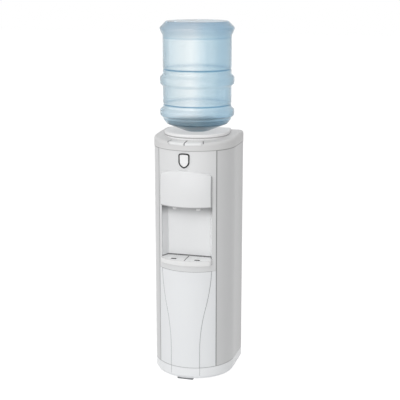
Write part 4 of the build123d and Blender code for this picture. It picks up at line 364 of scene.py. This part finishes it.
# %% Metals
# Painted reflection: the chrome border's colour is set nearly black for the dark surroundings it would
# mirror.
bright_trim = grained("bright_trim", grey(0.035), grey(0.025), rough=(0.12, 0.18), grain=600.0,
                      depth=3, metallic=0.5)
stainless = grained("stainless", grey(0.62), grey(0.56), rough=(0.25, 0.35), grain=500.0, depth=10,
                    metallic=1.0)
galvanised = grained("galvanised", grey(0.58), grey(0.50), rough=(0.35, 0.50), grain=90.0, depth=10,
                     metallic=0.9)
spring_steel = grained("spring_steel", grey(0.55), grey(0.50), rough=(0.22, 0.30), grain=500.0,
                       depth=5, metallic=1.0)
heater_steel = grained("heater_steel", grey(0.36, 0.02), grey(0.30, 0.02), rough=(0.40, 0.55),
                       grain=200.0, depth=20, metallic=0.8)
copper = grained("copper", (0.78, 0.42, 0.26), (0.62, 0.30, 0.18), rough=(0.25, 0.38), grain=150.0,
                 depth=10, metallic=1.0)

# %% [markdown]
# ## Soft and dark plastics
#
# Rubber feet, silicone tubes, foam jackets and the coloured rockers complete the list. They differ
# mostly in how rough they are: rubber and foam are dull, silicone is waxy, and the rockers shine.
# Light could be let a little way into the silicone, but those tubes lie inside, in the dark, where
# it would cost time and show nothing.

# %% Dark plastics and soft pieces
dark_plastic = grained("dark_plastic", grey(0.05), grey(0.04), rough=(0.40, 0.50), grain=800.0,
                       depth=30)
black_rubber = grained("black_rubber", grey(0.035), grey(0.025), rough=(0.60, 0.75), grain=500.0,
                       depth=40)
silicone = grained("silicone", grey(0.78, 0.01), grey(0.72, 0.01), rough=(0.35, 0.45), grain=300.0,
                   depth=10)
foam = grained("foam", grey(0.85, 0.03), grey(0.76, 0.03), rough=(0.80, 0.95), grain=220.0, depth=400)

# %% Coloured plastics
rocker_red = grained("rocker_red", (0.55, 0.03, 0.02), (0.50, 0.025, 0.02), rough=(0.15, 0.22),
                     grain=500.0, depth=5)
rocker_green = grained("rocker_green", (0.02, 0.30, 0.08), (0.02, 0.26, 0.07), rough=(0.15, 0.22),
                       grain=500.0, depth=5)
cap_blue = grained("cap_blue", (0.06, 0.22, 0.50), (0.05, 0.19, 0.45), rough=(0.35, 0.45),
                   grain=500.0, depth=10)

# %% [markdown]
# ## Dressing the frame's own solids
#
# Most solids already have the right shape, so each only takes its finish. The list could go by
# body, but the same finish is used on several bodies, so it goes by finish. The hidden pieces are in
# it too, because the inside shows when the tray is out or the bottle is lifted.

# %% Give every solid its finish
FINISHES = {
    front_white: ["upper_front_panel"],
    lower_white: ["lower_front_panel"],
    hood_white: ["tap_hood"],
    base_white: ["base_tray"],
    foot_grey: ["front_foot"],
    button_white: ["hot_button", "cold_button"],
    plate_white: ["left_drip_plate", "right_drip_plate"],
    cover_grey: ["top_cover"],
    collar_silver: ["bottle_collar"],
    liner_white: ["alcove_liner"],
    tray_white: ["drip_tray"],
    tap_white: ["hot_tap_body", "cold_tap_body", "hot_tap_lever", "cold_tap_lever", "hot_push_rod",
                "cold_push_rod", "feed_probe", "tank_lid"],
    badge_white: ["badge_plate"],
    side_paint: ["left_side_panel", "right_side_panel"],
    back_paint: ["back_panel"],
    black_paint: ["compressor", "condenser"],
    bright_trim: ["badge_bezel"],
    stainless: ["cold_tank", "hot_tank"],
    galvanised: ["inner_frame", "cold_thermostat"],
    spring_steel: ["hot_rod_spring", "cold_rod_spring", "back_screws"],
    heater_steel: ["heater_band"],
    copper: ["evaporator_coil", "suction_line", "discharge_line", "filter_drier"],
    dark_plastic: ["relay_cover", "condenser_brackets", "switch_housings", "thermostat_knob",
                   "drain_cap"],
    black_rubber: ["rubber_feet", "compressor_mounts", "cord_gland"],
    silicone: ["hot_plunger", "cold_plunger", "hot_feed_tube", "cold_water_tube", "hot_water_tube",
               "drain_outlet"],
    foam: ["cold_tank_jacket", "hot_tank_jacket"],
    rocker_red: ["hot_switch_rocker"],
    rocker_green: ["cold_switch_rocker"],
    cap_blue: ["bottle_cap"],
}
for finish, names in FINISHES.items():
    for name in names:
        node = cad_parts[name]
        node.data.materials.clear()
        node.data.materials.append(finish)
print("dressed", sum(len(names) for names in FINISHES.values()))

# %% [markdown]
# ## The form of the bottle
#
# A returnable bottle is blown from clear blue plastic, and its wall is under two millimetres thick.
# It could be a solid lump of glass, but that would bend the light like a lens. A shell with a true
# wall looks like the thin thing it is. Its profile is drawn from the neck, which is lowest here, up
# to the base, then its corners are rounded, it is spun round its axis, and it gets its wall.

# %% A helper for turned shapes
SPIN_STEPS = 160
ROUNDING_STEPS = 4
MERGE_DISTANCE = 0.00001


def spun(profile, axis_y, rounding):
    """An open shell of revolution from a profile of radii and heights, its corners rounded first."""
    mesh = bmesh.new()
    ring = [mesh.verts.new((radius, axis_y, height)) for radius, height in profile]
    for pair in zip(ring, ring[1:]):
        mesh.edges.new(pair)
    bmesh.ops.bevel(mesh, geom=ring[1:-1], offset=rounding, affect="VERTICES",
                    segments=ROUNDING_STEPS, profile=0.5, material=-1, clamp_overlap=True)
    bmesh.ops.spin(mesh, geom=mesh.verts[:] + mesh.edges[:], cent=(0, axis_y, 0), axis=(0, 0, 1),
                   angle=2 * pi, steps=SPIN_STEPS, use_merge=True)
    bmesh.ops.remove_doubles(mesh, verts=mesh.verts, dist=MERGE_DISTANCE)
    bmesh.ops.recalc_face_normals(mesh, faces=mesh.faces)
    return mesh


# %% A helper that finishes a piece
def finished(mesh, name, material, body, replaced=()):
    """Turns a mesh into a named piece with its finish that rides on its body."""
    data = bpy.data.meshes.new(name)
    mesh.to_mesh(data)
    mesh.free()
    data.materials.append(material)
    for face in data.polygons:
        face.use_smooth = True
    piece = bpy.data.objects.new(name, data)
    bpy.context.scene.collection.objects.link(piece)
    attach(piece, body)
    if replaced:
        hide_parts(*replaced)
    print(name, len(data.polygons), "faces")
    return piece


# %% [markdown]
# ## The tints and painted shade of the bottle
#
# The blue of such a bottle isn't even, and it gathers round the crown. The dark bands at the two grip
# grooves are painted shade for the light that the creases bend away, and the near black low on the
# shoulder is painted too, for the dark neck seen through the wall. The wall could be made thicker
# there, so that it took up more light, but a millimetre more hardly tells. A ramp that gives the tint
# and the painted shade by height does. The tint is also deeper where the wall is seen edge on, and the
# right half, which turns away from the lamps, gets painted shade.

# %% Tint and painted shade by height
# Painted shade: the dark stops at the grip grooves and low on the shoulder stand in for bent light and
# the dark neck seen through the wall.
BOTTLE_TINTS_AND_SHADE = (
    (0.868, (0.30, 0.46, 0.52)), (0.908, (0.30, 0.46, 0.52)), (0.912, (0.01, 0.05, 0.06)),
    (0.934, (0.00, 0.04, 0.06)), (0.941, (0.82, 0.89, 0.93)),
    (1.0005, (0.93, 0.96, 0.97)), (1.0030, (0.14, 0.34, 0.50)), (1.0052, (0.14, 0.34, 0.50)),
    (1.0077, (0.90, 0.94, 0.95)), (1.1262, (0.89, 0.93, 0.94)), (1.1290, (0.14, 0.34, 0.50)),
    (1.1312, (0.14, 0.34, 0.50)), (1.1340, (0.91, 0.95, 0.96)), (1.238, (0.90, 0.94, 0.95)),
    (1.241, (0.58, 0.70, 0.78)), (1.247, (0.84, 0.89, 0.91)), (1.262, (0.76, 0.81, 0.85)),
    (1.299, (0.68, 0.74, 0.80)),
)
LOW_TINT_Z, HIGH_TINT_Z = BOTTLE_TINTS_AND_SHADE[0][0], BOTTLE_TINTS_AND_SHADE[-1][0]


def height_tint_and_shade(nodes, links, parts):
    """The tint of the plastic at each height, with painted shade in the dark bands at the grip grooves
    and low on the shoulder.
    """
    height = nodes.new("ShaderNodeMapRange")
    height.inputs["From Min"].default_value = LOW_TINT_Z
    height.inputs["From Max"].default_value = HIGH_TINT_Z
    links.new(parts["Z"], height.inputs["Value"])
    ramp = nodes.new("ShaderNodeValToRGB")
    stops = ramp.color_ramp.elements
    while len(stops) < len(BOTTLE_TINTS_AND_SHADE):
        stops.new(0.5)
    for stop, (level, tint) in zip(stops, BOTTLE_TINTS_AND_SHADE):
        stop.position = (level - LOW_TINT_Z) / (HIGH_TINT_Z - LOW_TINT_Z)
        stop.color = (*tint, 1.0)
    links.new(height.outputs["Result"], ramp.inputs["Fac"])
    return ramp.outputs["Color"]


print("tints by height", len(BOTTLE_TINTS_AND_SHADE))

# %% Tint towards the edge, and painted shade on the right
DEEP_BLUE = (0.16, 0.44, 0.62)
EDGE_BLEND = 0.30
RIGHT_SHADE_FROM_X = 0.005
RIGHT_SHADE_TO_X = 0.070
RIGHT_SHADE_SHARE = 0.42


def deepened_and_shaded(nodes, links, parts, tint):
    """A tint made deeper where the wall is seen edge on, and given painted shade over the right half,
    which turns away from the lamps.
    """
    edge_on = nodes.new("ShaderNodeLayerWeight")
    edge_on.inputs["Blend"].default_value = EDGE_BLEND
    # Painted shade: the right half turns towards the deep blue, as the side away from the lamps.
    right = fading(nodes, links, parts["X"], RIGHT_SHADE_FROM_X, RIGHT_SHADE_TO_X, 0.0, RIGHT_SHADE_SHARE)
    share = worked(nodes, links, "MAXIMUM", edge_on.outputs["Facing"], right)
    return blended(nodes, links, share, tint, DEEP_BLUE)


# %% [markdown]
# ## The haze of the bottle
#
# The plastic is clear but not clean: years of refills leave it faintly hazy. More than nine tenths
# of the light goes through, a little spread by a roughness that drifts, and shallow waves in the wall
# unsettle the reflections. Clear glass would be simpler, but too crisp, and a rougher wall turns to
# frost. The light that falls on other pieces goes straight through, or the bottle would throw a black
# shadow on its collar, which real thin plastic doesn't do.

# %% Bottle finish
CLEARNESS = 0.93
PLASTIC_IOR = 1.45
HAZE_SCALE = 22.0
HAZE_DETAIL = 4.0
HAZE_ROUGH = (0.14, 0.22)
WAVE_DEPTH = 0.0004
LET_THROUGH = (0.98, 0.985, 0.99)


def bottle_finish():
    """Hazy clear plastic, tinted by height and given painted shade at the grooves, the shoulder and
    the right half, that lets the light on other pieces through.
    """
    material, nodes, links, shader = new_material("bottle_blue")
    shader.inputs["Transmission Weight"].default_value = CLEARNESS
    shader.inputs["IOR"].default_value = PLASTIC_IOR
    place = object_place(nodes)
    parts = place_parts(nodes, links, place)
    tint = deepened_and_shaded(nodes, links, parts, height_tint_and_shade(nodes, links, parts))
    links.new(tint, shader.inputs["Base Color"])
    haze = noise(nodes, links, place, HAZE_SCALE, HAZE_DETAIL)
    links.new(ranged(nodes, links, haze, *HAZE_ROUGH), shader.inputs["Roughness"])
    bumped(nodes, links, haze, WAVE_DEPTH, shader)

    clear = nodes.new("ShaderNodeBsdfTransparent")
    clear.inputs["Color"].default_value = (*LET_THROUGH, 1.0)
    ray = nodes.new("ShaderNodeLightPath").outputs
    passing = worked(nodes, links, "MAXIMUM", ray["Is Shadow Ray"], ray["Is Diffuse Ray"])
    shown(nodes, links, passing, shader.outputs["BSDF"], clear.outputs["BSDF"],
          nodes["Material Output"])
    return material


# %% Bottle shell
BOTTLE_AXIS_Y = 0.020
BOTTLE_WALL = 0.0016
BOTTLE_ROUNDING = 0.0035
BOTTLE_PROFILE = (
    (0.0265, 0.868), (0.0265, 0.897), (0.040, 0.9044), (0.077, 0.920), (0.112, 0.934), (0.124, 0.950),
    (0.124, 0.9551), (0.1345, 0.9640), (0.1345, 0.9842), (0.124, 0.9931),
    (0.124, 0.9990), (0.1215, 1.0041), (0.124, 1.0092),
    (0.124, 1.0680), (0.1345, 1.0783), (0.1345, 1.1016), (0.124, 1.1119),
    (0.124, 1.1250), (0.1215, 1.1301), (0.124, 1.1352),
    (0.124, 1.248), (0.134, 1.270), (0.134, 1.277), (0.112, 1.299), (0.0, 1.299),
)
shell = spun(BOTTLE_PROFILE, BOTTLE_AXIS_Y, BOTTLE_ROUNDING)
bottle = finished(shell, "bottle_shell", bottle_finish(), "bottle", ["bottle"])
wall = bottle.modifiers.new("wall", "SOLIDIFY")
wall.thickness = BOTTLE_WALL
wall.offset = -1.0

# %% [markdown]
# ## The return springs
#
# Each push rod is carried back up by a small spring that stands on an ear of the panel and bears on
# the rod's collar. A spring could be a curve with a round bevel, but then it would still have to be
# made a mesh. Here its wire is a circle that the spin operator turns and lifts at once. When a button
# is pressed its rod sinks by under two millimetres; here the spring is made only at its rest length.

# %% The coil of a spring
ROD_X = 0.044
ROD_Y = -0.134
SPRING_FOOT_Z = 0.780
SPRING_TOP_Z = 0.806
SPRING_R = 0.004
SPRING_WIRE_R = 0.00047
SPRING_TURNS = 6
STEPS_PER_TURN = 24
WIRE_SIDES = 8


def rod_spring(x):
    """A coil of round wire with both ends closed, standing on its foot."""
    mesh = bmesh.new()
    start = (x + SPRING_R, ROD_Y, SPRING_FOOT_Z + SPRING_WIRE_R)
    ring = bmesh.ops.create_circle(mesh, cap_ends=True, segments=WIRE_SIDES,
                                   radius=SPRING_WIRE_R)["verts"]
    bmesh.ops.rotate(mesh, verts=ring, matrix=Matrix.Rotation(pi / 2, 3, "X"))
    bmesh.ops.translate(mesh, verts=ring, vec=start)
    rise = SPRING_TOP_Z - SPRING_FOOT_Z - 2 * SPRING_WIRE_R
    steps = SPRING_TURNS * STEPS_PER_TURN
    bmesh.ops.spin(mesh, geom=mesh.faces[:], cent=(x, ROD_Y, 0), axis=(0, 0, 1),
                   dvec=(0, 0, rise / steps), angle=2 * pi * SPRING_TURNS, steps=steps)
    bmesh.ops.recalc_face_normals(mesh, faces=mesh.faces)
    return mesh


# %% Both springs
for name, side in (("hot", -1), ("cold", 1)):
    spring = finished(rod_spring(side * ROD_X), name + "_return_spring", spring_steel, "cabinet",
                      [name + "_rod_spring"])
    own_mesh(spring)

# %% [markdown]
# ## The painted shade lines of the lower front
#
# The lower front carries a raised field whose two edges rise straight from the foot, sweep outwards
# and turn upright again under the tray. The field stands only a millimetre proud, and what the eye
# catches is the thin line of shade along its foot. A shaded band can't follow a sweep, so the shade is
# painted with a fine dark bead that sits in the corner of the step. The edge is two circle arcs, and
# the bead follows the same two radii, laid on the curved front.

# %% The edge of the raised field
FIELD_HALF = 0.0535
FIELD_BEND_Z = 0.110
FIELD_LOW_R = 0.717
FIELD_HIGH_R = 0.760
FIELD_TURN = radians(13.3)
TURN_Z = FIELD_BEND_Z + FIELD_LOW_R * sin(FIELD_TURN)
TOP_BEND_Z = TURN_Z + FIELD_HIGH_R * sin(FIELD_TURN)
TOP_HALF = FIELD_HALF + (FIELD_LOW_R + FIELD_HIGH_R) * (1 - cos(FIELD_TURN))


def field_half(height):
    """Half the raised field's width at a height."""
    if height <= FIELD_BEND_Z:
        return FIELD_HALF
    if height <= TURN_Z:
        return FIELD_HALF + FIELD_LOW_R - sqrt(FIELD_LOW_R**2 - (height - FIELD_BEND_Z)**2)
    return TOP_HALF - FIELD_HIGH_R + sqrt(FIELD_HIGH_R**2 - (TOP_BEND_Z - height)**2)


print("the field is", round(2 * TOP_HALF * 1000), "mm wide at its top")

# %% A dark bead that paints the shade along the edge
FRONT_R = 0.150
LINE_OUTSIDE = 0.0006
LINE_R = 0.0008
LINE_SIDES = 6


def field_shade_line(side, low, high, proud, steps):
    """A fine dark bead of painted shade that follows one edge of the raised field between two heights.
    """
    mesh = bmesh.new()
    path = []
    for step in range(steps + 1):
        height = low + (high - low) * step / steps
        across = field_half(height) + LINE_OUTSIDE
        depth = -sqrt((FRONT_R + proud)**2 - across**2)
        path.append(Vector((side * across, depth, height)))
    ring = bmesh.ops.create_circle(mesh, segments=LINE_SIDES, radius=LINE_R)["verts"]
    bmesh.ops.translate(mesh, verts=ring, vec=path[0])
    edges = list({edge for vert in ring for edge in vert.link_edges})
    bmesh.ops.edgeloop_fill(mesh, edges=edges)
    for start, end in zip(path, path[1:]):
        grown = bmesh.ops.extrude_edge_only(mesh, edges=edges)["geom"]
        edges = [item for item in grown if isinstance(item, bmesh.types.BMEdge)]
        verts = [item for item in grown if isinstance(item, bmesh.types.BMVert)]
        bmesh.ops.translate(mesh, verts=verts, vec=end - start)
    bmesh.ops.edgeloop_fill(mesh, edges=edges)
    bmesh.ops.recalc_face_normals(mesh, faces=mesh.faces)
    return mesh


# %% Painted shade lines on both sides
PANEL_LOW_Z, PANEL_HIGH_Z, PANEL_STEPS = 0.0478, 0.4156, 48
BASE_LOW_Z, BASE_HIGH_Z, BASE_STEPS = 0.0165, 0.0462, 2
LINE_PROUD = 0.0004
for side, hand in ((-1, "left"), (1, "right")):
    bead = field_shade_line(side, PANEL_LOW_Z, PANEL_HIGH_Z, LINE_PROUD, PANEL_STEPS)
    finished(bead, hand + "_field_shade_line", shade_line_grey, "cabinet")
    bead = field_shade_line(side, BASE_LOW_Z, BASE_HIGH_Z, -LINE_PROUD, BASE_STEPS)
    finished(bead, hand + "_base_shade_line", shade_line_grey, "cabinet")

# %% [markdown]
# ## The floor
#
# The photo shows the dispenser cut out on pure white. More light on the floor would make it white,
# but would wash out the object too. So the floor glows by itself, and only for a ray that looks at it,
# straight, in a reflection or through the bottle. The rest of what it shows is the lit floor, which
# keeps a faint shadow, so that the object stands on something.

# %% Floor finish
FLOOR_TONE = 0.9
FLOOR_ROUGH = 0.9
GLOW_STRENGTH = 1.31
GLOW_SHARE = 0.72


def looked_at(nodes, links):
    """One for a ray that shows the backdrop, straight, in a reflection or through the bottle."""
    ray = nodes.new("ShaderNodeLightPath").outputs
    bent = worked(nodes, links, "MAXIMUM", ray["Is Camera Ray"], ray["Is Transmission Ray"])
    return worked(nodes, links, "MAXIMUM", bent, ray["Is Glossy Ray"])


def floor_finish():
    """White to the camera, with a faint trace of the shadow that falls on it."""
    material, nodes, links, shader = new_material("floor")
    shader.inputs["Base Color"].default_value = (*grey(FLOOR_TONE), 1.0)
    shader.inputs["Roughness"].default_value = FLOOR_ROUGH
    glow = nodes.new("ShaderNodeEmission")
    glow.inputs["Strength"].default_value = GLOW_STRENGTH
    share = worked(nodes, links, "MULTIPLY", looked_at(nodes, links), GLOW_SHARE)
    shown(nodes, links, share, shader.outputs["BSDF"], glow.outputs["Emission"],
          nodes["Material Output"])
    return material


# %% Floor
FLOOR_SPAN = 40.0
bpy.ops.mesh.primitive_plane_add(size=FLOOR_SPAN, location=(0, 0, 0))
floor = bpy.context.object
floor.name = "floor"
floor.data.materials.append(floor_finish())
print("floor", FLOOR_SPAN, "m wide")

# %% [markdown]
# ## The backdrop
#
# Behind the object there is nothing but light. A bright world would light the object flatly from all
# sides and drown its form. So the world does two things: it fills the shadows softly, and it is pure
# white for a ray that looks at it.

# %% World
WHITE = (1.0, 1.0, 1.0, 1.0)
FILL_STRENGTH = 0.42
BACKDROP_STRENGTH = 1.0
world = bpy.data.worlds.new("studio")
bpy.context.scene.world = world
world.use_nodes = True
nodes, links = world.node_tree.nodes, world.node_tree.links
fill = nodes["Background"]
fill.inputs["Color"].default_value = WHITE
fill.inputs["Strength"].default_value = FILL_STRENGTH
backdrop = nodes.new("ShaderNodeBackground")
backdrop.inputs["Color"].default_value = WHITE
backdrop.inputs["Strength"].default_value = BACKDROP_STRENGTH
shown(nodes, links, looked_at(nodes, links), fill.outputs["Background"],
      backdrop.outputs["Background"], nodes["World Output"])
print("fill", FILL_STRENGTH, "backdrop", BACKDROP_STRENGTH)

# %% [markdown]
# ## The lamps
#
# The object stands in soft studio light. A big box high in front gives the cabinet its shape, and a
# small one above lights the cover and the drip plates. That one isn't mirrored, or it would burn a
# spot on the bottle. Two low, wide boxes are there for their reflections, which lie on the bottle and
# on the glossy front as pale zones, and a very small one low at the right puts a glint on the
# bottle's right edge. A lamp's power follows from its size and brightness, so that a box can grow
# without burning out. No lamp shows to the camera or through the bottle, where its box would hang in
# the air.

# %% A helper for soft lamps
def soft_lamp(name, place, target, width, tall, radiance, mirrored=True):
    """A soft box that faces a point on the object."""
    light = bpy.data.lights.new(name, "AREA")
    light.shape = "RECTANGLE"
    light.size = width
    light.size_y = tall
    light.energy = radiance * pi * width * tall
    lamp = bpy.data.objects.new(name, light)
    lamp.location = place
    lamp.rotation_euler = (Vector(target) - Vector(place)).to_track_quat("-Z", "Y").to_euler()
    lamp.visible_camera = False
    lamp.visible_transmission = False
    lamp.visible_glossy = mirrored
    bpy.context.scene.collection.objects.link(lamp)
    print("lamp", name, round(light.energy, 1), "W")


def around(azimuth, distance, height):
    """A place round the object: nought degrees is straight in front, and ninety is to its right."""
    turn = radians(azimuth)
    return (distance * sin(turn), -distance * cos(turn), height)


# %% Lamps
CABINET_MIDDLE = (0.0, 0.0, 0.75)
BOTTLE_FOOT = (0.0, BOTTLE_AXIS_Y, 0.9)
soft_lamp("key", around(-12, 3.2, 2.8), CABINET_MIDDLE, width=2.0, tall=1.6, radiance=3.0)
soft_lamp("top", (0.2, -0.6, 3.2), CABINET_MIDDLE, width=0.6, tall=0.5, radiance=12.0, mirrored=False)
soft_lamp("front", around(9, 2.9, 0.80), BOTTLE_FOOT, width=3.9, tall=0.9, radiance=1.3)
soft_lamp("left", around(-62, 2.4, 0.95), BOTTLE_FOOT, width=2.8, tall=0.4, radiance=1.3)
soft_lamp("edge", around(97, 1.0, 0.91), BOTTLE_FOOT, width=0.04, tall=0.10, radiance=12.0)

# %% [markdown]
# ## The camera
#
# The camera is fitted to the cabinet's straight edges. It stands three and a half metres off, to the
# right of the front and a little above the bottle's top, and looks down by thirteen degrees. It could
# be aimed at a point on the object, but plain angles are easier to read and to change.

# %% Camera
CAMERA_PLACE = (0.9607, -3.3453, 1.465)
CAMERA_TURN = 15.77
CAMERA_PITCH = 13.21
CAMERA_LENS = 87.12
CAMERA_SENSOR = 36.0
camera = bpy.data.objects.new("camera", bpy.data.cameras.new("camera"))
camera.data.lens = CAMERA_LENS
camera.data.sensor_width = CAMERA_SENSOR
camera.location = CAMERA_PLACE
camera.rotation_euler = (radians(90 - CAMERA_PITCH), 0.0, radians(CAMERA_TURN))
bpy.context.scene.collection.objects.link(camera)
bpy.context.scene.camera = camera
bpy.context.scene.view_settings.view_transform = "Standard"
print("camera", CAMERA_LENS, "mm lens,", round(Vector(CAMERA_PLACE).length, 2), "m from the origin")

# %% Bring the scene up to date and finish
bpy.context.view_layer.update()
